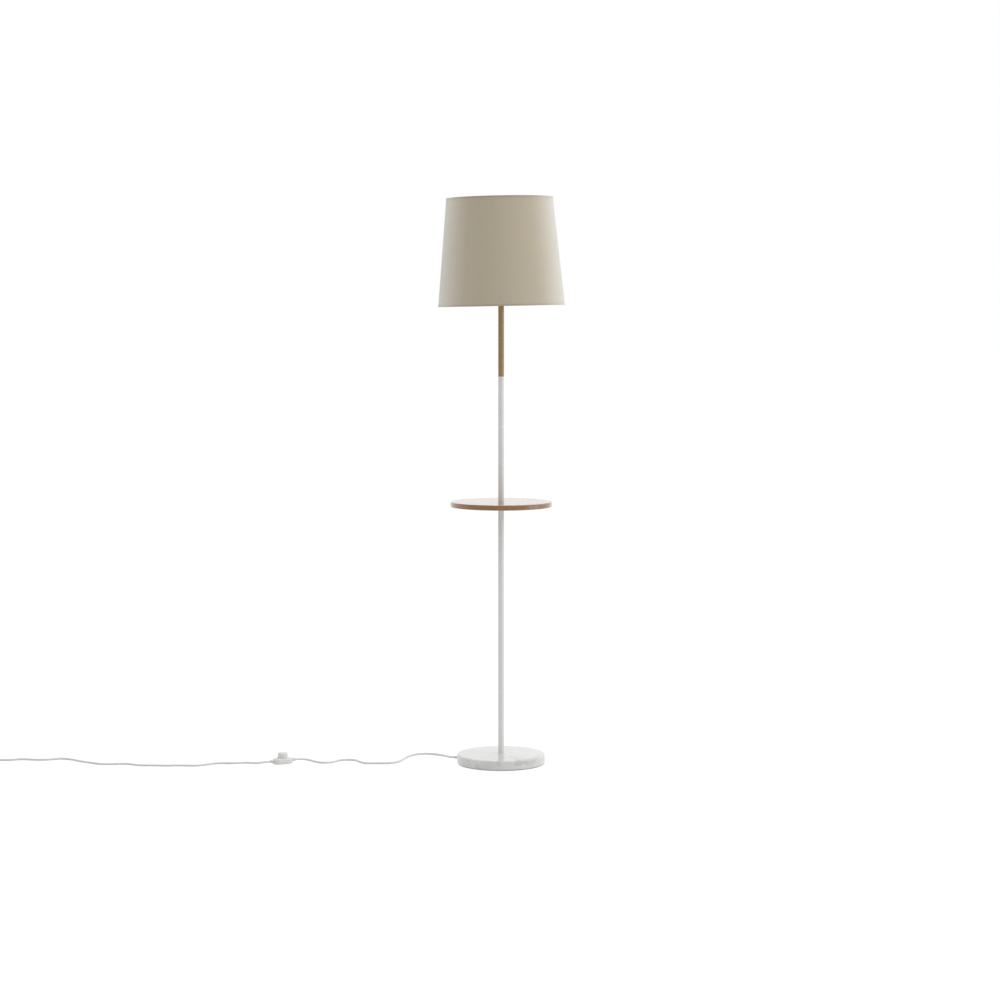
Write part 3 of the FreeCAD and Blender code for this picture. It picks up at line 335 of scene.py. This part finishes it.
def coil_turns():
    """Control points of the coil, counter-clockwise. Two turns spiral inwards side by side, a
    diameter closer each turn. The flex then rolls up over its second turn and ends in the groove
    between both. The far side of the coil rests on the floor, and this side on the strap."""
    step = 360 / points_in_turn
    angle = np.arange(strap_angle, coil_end + step / 2, step)
    climbs = angle > climb_start
    swing_in = np.clip((strap_angle + 90 - angle) / 90, 0, 1) ** 2 * entry_swing
    beside = coil_radius - flex_diameter * (np.where(climbs, angle - 360, angle)
                                            - strap_angle - 360) / 360
    rise = np.clip((angle - climb_start) / (climb_end - climb_start), 0, 1)
    roll = np.radians(first_roll - (first_roll - last_roll) * rise * rise * (3 - 2 * rise))
    radius = beside + swing_in + np.where(climbs, flex_diameter * np.cos(roll), 0)
    turn = np.radians(angle)
    tilt = (1 + np.cos(turn - math.radians(strap_angle))) / 2
    height = on_floor + tie_thickness * tilt + np.where(climbs, flex_diameter * np.sin(roll), 0)
    polygon = radius / math.cos(math.pi / points_in_turn)
    return np.column_stack([coil_centre[0] + polygon * np.cos(turn),
                            coil_centre[1] + polygon * np.sin(turn), height])


flex_to_coil = flex("flex_to_coil", np.concatenate([to_coil, coil_turns(), to_plug]))
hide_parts("cord_to_coil", "cord_coil", "cord_tail")

dress(vinyl, "cord_riser", "coil_tie", "plug_boot", "switch_reliefs", "cord_gland")


# ---------------------------------------------------------------- base
# A sawn and polished disc of white marble with soft grey veins. A foam pad covers its underside,
# and a zinc-plated nut and washer in a recess there clamp it to the pole's threaded nipple.

vein_colour = (0.36, 0.36, 0.37)
marble_colour = (0.77, 0.77, 0.76)

marble, tree, shader, position = new_finish("marble", Roughness=0.1, IOR=1.52)
swirl = add_node(tree, "ShaderNodeTexNoise", {"Vector": position, "Scale": 6.0, "Detail": 5.0})
bent = add_node(tree, "ShaderNodeVectorMath", {0: swirl.outputs["Color"], 1: (0.12, 0.12, 0.12),
                                               2: position}, operation="MULTIPLY_ADD").outputs[0]
cloud = add_node(tree, "ShaderNodeTexNoise", {"Vector": bent, "Scale": 9.0, "Detail": 7.0,
                                              "Roughness": 0.6}).outputs[0]
off_middle = calculate(tree, "ABSOLUTE", calculate(tree, "SUBTRACT", cloud, 0.5))
vein = ranged(tree, off_middle, 0.0, 0.05, 1.0, 0.0)
drift = add_node(tree, "ShaderNodeTexNoise", {"Vector": position, "Scale": 5.0, "Detail": 3.0})
strong = ranged(tree, drift.outputs[0], 0.45, 0.7, last=0.55)
veined = mixed(tree, calculate(tree, "MULTIPLY", vein, strong), marble_colour, vein_colour)
crystals = add_node(tree, "ShaderNodeTexVoronoi", {"Vector": position, "Scale": 700.0})
sparkle = ranged(tree, crystals.outputs["Color"], 0.0, 1.0, last=0.08)
cloudy = ranged(tree, cloud, 0.3, 0.7, last=0.1)
greyed = calculate(tree, "ADD", sparkle, cloudy)
join(tree, shader, Base_Color=mixed(tree, greyed, veined, vein_colour),
     Normal=relief(tree, crystals.outputs["Distance"], 0.000004))
dress(marble, "base_marble")

foam = skin_finish("foam", (0.52, 0.52, 0.51), (0.42, 0.42, 0.41), 0.85, patches=60.0, grains=900.0,
                   depth=0.0003)
dress(foam, "base_pad")

zinc = skin_finish("zinc", (0.60, 0.60, 0.62), (0.48, 0.49, 0.52), 0.32, 0.2, patches=220.0,
                   Metallic=1.0)
dress(zinc, "base_washer", "base_nut", "base_nipple")


# ---------------------------------------------------------------- steel tubes
# Drawn steel tube, 16 mm across, powder-coated satin white in one batch with the ring between
# the upper tube and the wooden pole. Threaded plugs in their ends take the nipples.

white_paint = skin_finish("white_paint", (0.76, 0.76, 0.75), (0.72, 0.72, 0.71), 0.36, 0.08,
                          patches=14.0, grains=1100.0, depth=0.00002)
dress(white_paint, "lower_tube", "middle_tube", "ferrule")
dress(zinc, "lower_tube_foot_plug", "lower_tube_top_plug", "middle_tube_foot_plug",
      "middle_tube_top_plug", "table_nipple", "pole_nipple", "holder_nipple")


# ---------------------------------------------------------------- table
# A round top of edge-glued hardwood staves, turned to 275 mm, rounded at its edges and lacquered.
# It sits on a white steel flange with three countersunk screws.

stave_width = 0.046
stave_gap = 0.0006
wood_light = (0.62, 0.37, 0.18)
wood_mid = (0.335, 0.145, 0.042)
wood_dark = (0.14, 0.058, 0.020)

# Growth rings, pores and light flecks of a wood whose grain runs along Z.
grain, given, made = new_group(
    "wood_grain",
    {"Position": ("Vector", None), "Light": ("Color", (*wood_light, 1)),
     "Middle": ("Color", (*wood_mid, 1)), "Dark": ("Color", (*wood_dark, 1)),
     "Rings per Metre": ("Float", 240.0)},
    {"Color": "Color", "Roughness": "Float", "Height": "Float"})


def stretched(tree, position, across, along, detail):
    """Noise with so many features to a metre across the grain, and so many along it."""
    scaled = add_node(tree, "ShaderNodeVectorMath", {0: position, 1: (across, across, along)},
                      operation="MULTIPLY")
    return add_node(tree, "ShaderNodeTexNoise", {"Vector": scaled.outputs[0], "Scale": 1.0,
                                                 "Detail": detail}).outputs[0]


wander = calculate(grain, "MULTIPLY", stretched(grain, given["Position"], 16.0, 2.0, 2.0), 0.035)
across = add_node(grain, "ShaderNodeSeparateXYZ", {0: given["Position"]}).outputs["X"]
turns = calculate(grain, "MULTIPLY", calculate(grain, "ADD", across, wander),
                  given["Rings per Metre"])
wave = calculate(grain, "SINE", calculate(grain, "MULTIPLY", turns, 2 * math.pi))
ring = ranged(grain, wave, -1.0, 1.0, last=0.9)
fibres = stretched(grain, given["Position"], 1400.0, 45.0, 3.0)
tone = calculate(grain, "ADD", calculate(grain, "MULTIPLY", ring, fibres),
                 calculate(grain, "MULTIPLY", fibres, 0.45))
pore = ranged(grain, stretched(grain, given["Position"], 2300.0, 110.0, 1.0), 0.60, 0.70)
fleck = ranged(grain, stretched(grain, given["Position"], 800.0, 24.0, 1.0), 0.58, 0.72, last=0.5)
toned = mixed(grain, tone, given["Middle"], given["Dark"])
flecked = mixed(grain, fleck, toned, given["Light"])
grain.links.new(mixed(grain, calculate(grain, "MULTIPLY", pore, 0.6), flecked, given["Dark"]),
                made.inputs["Color"])
grain.links.new(calculate(grain, "ADD", calculate(grain, "MULTIPLY", pore, 0.25), 0.2),
                made.inputs["Roughness"])
grain.links.new(calculate(grain, "SUBTRACT", calculate(grain, "MULTIPLY", fibres, 0.4), pore),
                made.inputs["Height"])

table_wood, tree, shader, position = new_finish("table_wood", Coat_Weight=1.0, Coat_Roughness=0.16)
place = add_node(tree, "ShaderNodeSeparateXYZ", {0: position}).outputs
stave_place = calculate(tree, "DIVIDE", place["Y"], stave_width)
stave = calculate(tree, "FLOOR", stave_place)
chance = add_node(tree, "ShaderNodeTexWhiteNoise", {"W": stave}, noise_dimensions="1D").outputs
shifted = add_node(tree, "ShaderNodeVectorMath", {0: chance["Color"], 1: position}, operation="ADD")
turned = add_node(tree, "ShaderNodeMapping", {"Vector": shifted.outputs[0],
                                              "Rotation": (0, math.pi / 2, 0.12)})
wood = add_node(tree, "ShaderNodeGroup", {"Position": turned.outputs[0]}, node_tree=grain).outputs
stave_tone = calculate(tree, "MULTIPLY", chance["Value"], 0.34)
from_joint = calculate(tree, "PINGPONG", place["Y"], stave_width / 2)
joint = calculate(tree, "LESS_THAN", calculate(tree, "ABSOLUTE", from_joint), stave_gap / 2)
board = mixed(tree, stave_tone, wood["Color"], wood_light)
jointed = mixed(tree, calculate(tree, "MULTIPLY", joint, 0.7), board, wood_dark)
join(tree, shader, Base_Color=jointed, Roughness=wood["Roughness"],
     Normal=relief(tree, wood["Height"], 0.00008, 0.4))
dress(table_wood, "table_top")
dress(white_paint, "table_flange")
dress(zinc, "table_screws")


# ---------------------------------------------------------------- wooden pole
# Turned from one piece of the table's wood and oiled, with the grain along it. It is bored
# through for the flex.

pole_wood, tree, shader, position = new_finish("pole_wood")
wood = add_node(tree, "ShaderNodeGroup", {
    "Position": position, "Light": (0.54, 0.365, 0.19, 1), "Middle": (0.42, 0.27, 0.12, 1),
    "Dark": (0.22, 0.125, 0.052, 1), "Rings per Metre": 330.0}, node_tree=grain).outputs
join(tree, shader, Base_Color=wood["Color"], Roughness=wood["Roughness"],
     Normal=relief(tree, wood["Height"], 0.00008))
dress(pole_wood, "wood_pole")


# ---------------------------------------------------------------- lampholder
# A white moulded cap and a sleeve with a coarse outer thread, round a glazed ceramic insert with
# a brass screw shell. A notched ring screws down the sleeve and clamps the shade's fitter.

thread_pitch = 0.003
thread_depth = 0.0007
thread_low, thread_high = 1.3095, 1.335
thread_rows = 150

white_plastic = skin_finish("white_plastic", (0.74, 0.74, 0.73), (0.68, 0.68, 0.67), 0.3, 0.12,
                            patches=40.0, grains=2200.0, depth=0.00002)
ceramic = skin_finish("ceramic", (0.80, 0.79, 0.76), (0.72, 0.71, 0.68), 0.18, Coat_Weight=0.6)
brass = skin_finish("brass", (0.72, 0.53, 0.25), (0.55, 0.40, 0.20), 0.28, 0.2, patches=150.0,
                    Metallic=1.0)
core_brown = skin_finish("core_brown", (0.25, 0.12, 0.06), (0.20, 0.10, 0.05), 0.4)


def surface(name, points, body, material, uv=None, sharp=40):
    """A piece whose faces fill a grid of points, rows by columns. Points that meet at seams and
    poles are merged, its faces are turned outwards, and edges are sharp past an angle."""
    rows, columns = points.shape[:2]
    number = np.arange(rows * columns).reshape(rows, columns)
    faces = np.stack([number[:-1, :-1], number[:-1, 1:], number[1:, 1:], number[1:, :-1]],
                     axis=-1).reshape(-1, 4)
    mesh = bpy.data.meshes.new(name)
    mesh.from_pydata(points.reshape(-1, 3).tolist(), [], faces.tolist())
    if uv is not None:
        corners = uv.reshape(-1, 2)[faces.ravel()]
        mesh.uv_layers.new(name="UVMap").data.foreach_set("uv", corners.ravel())
    shell = bmesh.new()
    shell.from_mesh(mesh)
    bmesh.ops.remove_doubles(shell, verts=shell.verts, dist=1e-7)
    bmesh.ops.recalc_face_normals(shell, faces=shell.faces)
    shell.to_mesh(mesh)
    shell.free()
    mesh.shade_smooth()
    mesh.set_sharp_from_angle(angle=math.radians(sharp))
    mesh.materials.append(material)
    piece = bpy.data.objects.new(name, mesh)
    scene.collection.objects.link(piece)
    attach(piece, body)
    return piece


def round_the_axis(radius, height, angle):
    """Points at a radius and height, at angles from the front round the pole's axis."""
    return np.stack([radius * np.sin(angle), -radius * np.cos(angle), height + 0 * angle], axis=-1)


def sleeve_points():
    """The sleeve as a closed profile of radius and height turned round the axis. Between two
    heights its outside follows a helix: the radius dips by the thread's depth in a rounded wave
    that climbs one pitch each turn."""
    inside, outside, shoulder, spigot = 0.0169, 0.0195, 0.023, 0.02055
    low, joint, seat, top = 1.301, 1.305, 1.3085, 1.336
    chamfer = 0.001
    heights = np.linspace(thread_low, thread_high, thread_rows)
    foot = [(inside, low), (spigot, low), (spigot, joint), (shoulder, joint), (shoulder, seat),
            (outside, seat)]
    rim = [(outside - chamfer, top), (inside, top), (inside, low)]
    outline = np.array(foot + [(outside, height) for height in heights] + rim)
    angle = np.linspace(0, 2 * math.pi, 97)
    radius, height = (np.repeat(column[:, None], len(angle), axis=1) for column in outline.T)
    wave = 0.5 - 0.5 * np.cos(2 * math.pi * (height / thread_pitch) - angle)
    start = np.clip((height - thread_low) / thread_pitch, 0, 1)
    end = np.clip((thread_high - height) / thread_pitch, 0, 1)
    threaded = ((height >= thread_low) & (height <= thread_high)
                & (radius > outside - chamfer / 2))
    return round_the_axis(radius - np.where(threaded, thread_depth * wave * start * end, 0),
                          height, angle)


holder_sleeve = surface("holder_sleeve", sleeve_points(), "lamp", white_plastic)
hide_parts("holder_body")
dress(white_plastic, "holder_cap", "shade_ring_nut")
dress(ceramic, "holder_insert")
dress(brass, "holder_screw_shell", "holder_tongue", "holder_terminals")
dress(zinc, "terminal_screws")
dress(core_brown, "holder_cores")


# ---------------------------------------------------------------- bulb
# An opal glass bulb of 60 mm, blown, with a nickel-plated screw cap that is cemented on and ends
# in a dark glass insulator and a drop of solder.

opal = skin_finish("opal", (0.86, 0.85, 0.82), (0.83, 0.82, 0.79), 0.12, 0.05, Coat_Weight=0.5)
nickel = skin_finish("nickel", (0.62, 0.61, 0.58), (0.56, 0.55, 0.52), 0.2, 0.15, patches=60.0,
                     Metallic=1.0)
black_glass = skin_finish("black_glass", (0.03, 0.03, 0.04), (0.05, 0.05, 0.06), 0.1)
solder = skin_finish("solder", (0.58, 0.58, 0.60), (0.44, 0.44, 0.46), 0.45, 0.2, patches=300.0,
                     depth=0.0001, Metallic=1.0)
dress(opal, "bulb_glass")
dress(nickel, "bulb_cap")
dress(black_glass, "bulb_insulator")
dress(solder, "bulb_contact")


# ---------------------------------------------------------------- shade
# Natural linen, cut as a flat ring sector and glued to a white plastic liner, with its ends
# lapped at the back. Strips of the same cloth fold over both rims round a welded wire frame,
# which hangs the shade from the lampholder by three spokes. It leans a little to the left.

shade_lean = math.radians(1.1)
fitter_height = 1.310109
shade_bottom, shade_top = 1.244809, 1.535409
bottom_radius, top_radius = 0.1712, 0.14355
thread_spacing = 0.0007
cloth_depth = 0.00055    # how far the cloth's face lies inside the rims' outer line
cloth_thickness = 0.0012
lap_width = 0.012
lap_proud, lap_sunk = 0.0004, 0.0001  # how far the lap stands out of the cloth, and reaches in
lap_short = 0.004        # how far the lap ends inside each rim
hem_thickness = 0.0005
outside_leg, inside_leg = 0.0045, 0.009  # of the strips, measured from the rim
pucker_depth = 0.00006
# A pale tone mixed into the linen's colour where it turns away from view, as a painted sheen.
painted_sheen_colour = (0.87, 0.83, 0.74)

# A plain weave on a map in metres: each thread is a rounded bar that goes over one thread and
# under the next, and is thicker and darker in places along its length.
weave, given, made = new_group(
    "plain_weave", {"Map": ("Vector", None), "Threads per Metre": ("Float", 1 / thread_spacing)},
    {"Height": "Float", "Slub": "Float"})
counted = add_node(weave, "ShaderNodeVectorMath", {
    0: given["Map"], "Scale": given["Threads per Metre"]}, operation="SCALE").outputs[0]
count = add_node(weave, "ShaderNodeSeparateXYZ", {0: counted}).outputs


def thread_bars(socket):
    """The rounded height across threads that are counted along one direction."""
    return calculate(weave, "ABSOLUTE", calculate(
        weave, "SINE", calculate(weave, "MULTIPLY", socket, math.pi)))


def thread_slubs(along, across):
    """Noise that is long in one direction of the cloth and one thread wide in the other."""
    scaled = add_node(weave, "ShaderNodeVectorMath", {0: counted, 1: (along, across, 1.0)},
                      operation="MULTIPLY").outputs[0]
    return add_node(weave, "ShaderNodeTexNoise", {"Vector": scaled, "Scale": 1.0,
                                                  "Detail": 2.0}).outputs[0]


over = add_node(weave, "ShaderNodeTexChecker", {"Vector": counted, "Scale": 1.0}).outputs["Fac"]
upright = thread_slubs(1.0, 0.035)
level = thread_slubs(0.035, 1.0)
for name, first, second in (("Height", thread_bars(count["X"]), thread_bars(count["Y"])),
                            ("Slub", upright, level)):
    chosen = add_node(weave, "ShaderNodeMix", {"Factor": over, "A": first, "B": second})
    weave.links.new(chosen.outputs[0], made.inputs[name])


def linen_finish(name, light, middle, gap_shade_tone):
    """Linen whose threads run between two tones, with a darker tone painted as shade in the gaps of
    the weave, and a painted sheen that mixes its colour towards a pale tone where it turns away."""
    material, tree, shader, _ = new_finish(name, Roughness=0.9, Sheen_Weight=1.0,
                                           Sheen_Roughness=0.5, Sheen_Tint=(1, 0.99, 0.96, 1))
    flat = add_node(tree, "ShaderNodeUVMap").outputs["UV"]
    cloth = add_node(tree, "ShaderNodeGroup", {"Map": flat}, node_tree=weave).outputs
    slub = ranged(tree, cloth["Slub"], 0.3, 0.7)
    # Painted shade: the colour darkens in the gaps of the weave, where the threads lie low.
    painted_gap_shade = ranged(tree, cloth["Height"], 0.1, 0.6, 0.6, 0.0)
    # Painted sheen: the cloth's colour is mixed towards a pale tone as it turns edge-on to the
    # view.
    edge_on = add_node(tree, "ShaderNodeLayerWeight", {"Blend": 0.5}).outputs["Facing"]
    painted_sheen_share = ranged(tree, edge_on, 0.2, 0.75, last=0.7)
    woven = mixed(tree, painted_gap_shade, mixed(tree, slub, middle, light), gap_shade_tone)
    join(tree, shader, Base_Color=mixed(tree, painted_sheen_share, woven, painted_sheen_colour),
         Normal=relief(tree, cloth["Height"], 0.00025, 0.7))
    return material


linen = linen_finish("linen", (0.61, 0.54, 0.41), (0.52, 0.45, 0.325), (0.37, 0.31, 0.215))
# The rim strips take the same linen in darker tones, as painted shade along both rims.
painted_shade_hem_linen = linen_finish("painted_shade_hem_linen", (0.50, 0.44, 0.33), (0.43, 0.37, 0.26), (0.31, 0.26, 0.18))
liner_white = skin_finish("liner_white", (0.80, 0.79, 0.75), (0.76, 0.75, 0.70), 0.5, patches=10.0)


def rim_line(height):
    """The radius of the shade's outer line at a height, a straight taper between both rims."""
    return bottom_radius + (top_radius - bottom_radius) * (
        height - shade_bottom) / (shade_top - shade_bottom)


def leaned(points):
    """The points turned by the shade's lean about the fitter's middle, towards -X at the top."""
    x, y, z = np.moveaxis(points, -1, 0)
    z = z - fitter_height
    sine, cosine = math.sin(shade_lean), math.cos(shade_lean)
    return np.stack([x * cosine - z * sine, y, x * sine + z * cosine + fitter_height], axis=-1)


def cone_wall(depths, low, high, first, last, rows, columns):
    """A wall on the shade's taper between two depths inside its outer line, as a closed loop up
    its outside and down its inside at each angle. Its map is the flat ring sector that rolls up
    into the cone: distance from the cone's tip, and angle times the sine of its half angle."""
    up = np.linspace(low, high, rows)
    outline = np.concatenate([up, up[::-1], up[:1]])
    depth = np.concatenate([np.full(rows, depths[0]), np.full(rows, depths[1]), [depths[0]]])
    angle = np.linspace(first, last, columns)
    height, depth, angle = (array + np.zeros((len(outline), columns)) for array in (
        outline[:, None], depth[:, None], angle[None, :]))
    points = leaned(round_the_axis(rim_line(height) - depth, height, angle))
    narrowing = math.atan((bottom_radius - top_radius) / (shade_top - shade_bottom))
    from_tip = rim_line(height) / math.sin(narrowing)
    rolled = angle * math.sin(narrowing)
    return points, np.stack([from_tip * np.sin(rolled), -from_tip * np.cos(rolled)], axis=-1)


points, uv = cone_wall((cloth_depth, cloth_depth + cloth_thickness), shade_bottom + cloth_depth,
                       shade_top - cloth_depth, -math.pi, math.pi, 24, 193)
shade_linen = surface("shade_linen", points, "shade", linen, uv)
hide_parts("shade_fabric")
half_lap = lap_width / 2 / bottom_radius
points, uv = cone_wall((cloth_depth - lap_proud, cloth_depth + lap_sunk), shade_bottom + lap_short,
                       shade_top - lap_short, math.pi - half_lap, math.pi + half_lap, 24, 9)
shade_lap = surface("shade_lap", points, "shade", linen, uv)


def hem_points(rim, inward):
    """A strip of cloth carried round a rim. Its middle line, in depth and height from the rim, goes
    down the outside, under the wire with rounded corners, and up the inside. The strip lies half
    its thickness to each side of that line, with small puckers where the glue has drawn it."""
    corner = np.radians(np.linspace(0, 90, 7))
    near, far = hem_thickness / 2, 0.00575
    bend = 0.001
    puckered = 0.003         # how far inwards the puckers fade out
    line = np.concatenate([
        [(near, outside_leg), (near, 0.003)],
        np.column_stack([near + bend * (1 - np.cos(corner)), near + bend * (1 - np.sin(corner))]),
        np.column_stack([far - bend * (1 - np.sin(corner)), near + bend * (1 - np.cos(corner))]),
        [(far, 0.004), (far, 0.0065), (far, inside_leg)]])
    along = np.gradient(line, axis=0)
    along /= np.linalg.norm(along, axis=1)[:, None]
    out = np.column_stack([-along[:, 1], along[:, 0]]) * hem_thickness / 2
    outline = np.concatenate([line + out, (line - out)[::-1], (line + out)[:1]])
    step = np.linalg.norm(np.diff(outline, axis=0), axis=1)
    walked = np.concatenate([[0], np.cumsum(step)])
    angle = np.linspace(-math.pi, math.pi, 289)
    depth, from_rim, walked, angle = (array + np.zeros((len(outline), len(angle))) for array in (
        outline[:, :1], outline[:, 1:], walked[:, None], angle[None, :]))
    height = rim + inward * from_rim
    waves = np.sin(41 * angle) + np.sin(67 * angle + 1) + np.sin(113 * angle + 2)
    pucker = pucker_depth * waves * np.clip((puckered - depth) / puckered, 0, 1) * np.clip(
        from_rim / outside_leg, 0, 1)
    points = leaned(round_the_axis(rim_line(height) - depth - np.abs(pucker), height, angle))
    return points, np.stack([angle * rim_line(rim), walked], axis=-1)


for name, rim, inward in (("bottom", shade_bottom, 1), ("top", shade_top, -1)):
    points, uv = hem_points(rim, inward)
    hem = surface(f"shade_{name}_strip", points, "shade", painted_shade_hem_linen, uv)
    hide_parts(f"shade_{name}_hem")

dress(liner_white, "shade_liner")
dress(white_paint, "shade_top_ring", "shade_bottom_ring", "shade_spokes", "shade_fitter")


# ---------------------------------------------------------------- foot switch
# Two white moulded shells, screwed together from below, with a round push cap that a spring
# holds up. Each push carries a brass bridge down to two contact strips.

spring_steel = skin_finish("spring_steel", (0.45, 0.45, 0.46), (0.36, 0.36, 0.37), 0.3, 0.15,
                           patches=250.0, Metallic=1.0)
switch_plastic = skin_finish("switch_plastic", (0.78, 0.78, 0.77), (0.70, 0.70, 0.69), 0.34, 0.15,
                             patches=60.0, grains=1800.0, depth=0.00004)
dress(switch_plastic, "switch_base", "switch_cover", "switch_pedal")
dress(zinc, "switch_screws")

spring_foot, spring_head = 0.00205, 0.02795
spring_turns = 7
spring_wire = 0.0008
spring_radius = 0.0047
steps_in_turn = 32
switch_middle = (-0.596, -0.004)


def spring_points():
    """A round wire carried along a helix. Its middle goes round evenly and climbs by one wire's
    thickness over the first turn and the last, so both ends lie flat, and evenly between them."""
    along = np.linspace(0, spring_turns, steps_in_turn * spring_turns + 1)
    turn = np.concatenate([[0], along, [spring_turns]])
    flat_turns = np.clip(turn, 0, 1) + np.clip(turn - spring_turns + 1, 0, 1)
    open_share = np.clip((turn - 1) / (spring_turns - 2), 0, 1)
    climb = flat_turns * spring_wire + open_share * (spring_head - spring_foot - 3 * spring_wire)
    wire = np.full(len(turn), spring_wire / 2)
    wire[[0, -1]] = 0
    round_wire = np.linspace(0, 2 * math.pi, 13)
    radius = spring_radius + wire[:, None] * np.cos(round_wire)
    height = (spring_foot + spring_wire / 2 + climb)[:, None] + wire[:, None] * np.sin(round_wire)
    points = round_the_axis(radius, height, 2 * math.pi * turn[:, None])
    return points + np.array([*switch_middle, 0])


push_spring = surface("push_spring", spring_points(), "lamp", spring_steel)
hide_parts("switch_spring")
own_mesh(push_spring)
dress(brass, "switch_contacts", "switch_bridge")
dress(core_brown, "switch_cores")


# ---------------------------------------------------------------- plug
# A flat plug moulded onto the flex in the same white, with two round nickel-plated pins whose
# roots are sleeved.

plug_level = 0.00685
plug_rear, plug_front = -0.064, -0.102
plug_middle = -1.478
rear_half_width, width_swell = 0.0075, 0.01015
rear_half_thickness, thickness_swell = 0.0060, 0.00085
plug_edge = 0.0012       # radius that rounds over both ends
squareness = 0.35        # the power of the outline, where 1 would be round


def plug_points():
    """The body between its flex end and its pin end, as a share of the way that steps closely
    near both. Its half width grows along a smooth step, and its outline is a rounded rectangle:
    cosine and sine, each raised to a power below one. The ends round over and close flat."""
    way = (1 - np.cos(np.linspace(0, math.pi, 61))) / 2
    way = np.concatenate([[0], way, [1]])
    swell = np.clip((way - 0.12) / 0.50, 0, 1)
    half_width = rear_half_width + width_swell * swell * swell * (3 - 2 * swell)
    half_thickness = rear_half_thickness + thickness_swell * np.clip(way / 0.32, 0, 1)
    from_end = np.minimum(way, 1 - way) * (plug_rear - plug_front)
    drawn_in = plug_edge - np.sqrt(plug_edge ** 2 - np.maximum(plug_edge - from_end, 0) ** 2)
    width, thickness = half_width - drawn_in, half_thickness - drawn_in
    width[[0, -1]] = thickness[[0, -1]] = 0
    turn = np.linspace(0, 2 * math.pi, 97)
    across, upward = (np.sign(part) * np.abs(part) ** squareness
                      for part in (np.cos(turn), np.sin(turn)))
    y = plug_rear + (plug_front - plug_rear) * way
    return np.stack([plug_middle + width[:, None] * across, y[:, None] + 0 * across,
                     plug_level + thickness[:, None] * upward], axis=-1)


moulded_plug = surface("moulded_plug", plug_points(), "lamp", white_plastic)
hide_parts("plug_body")
dress(nickel, "plug_pins")
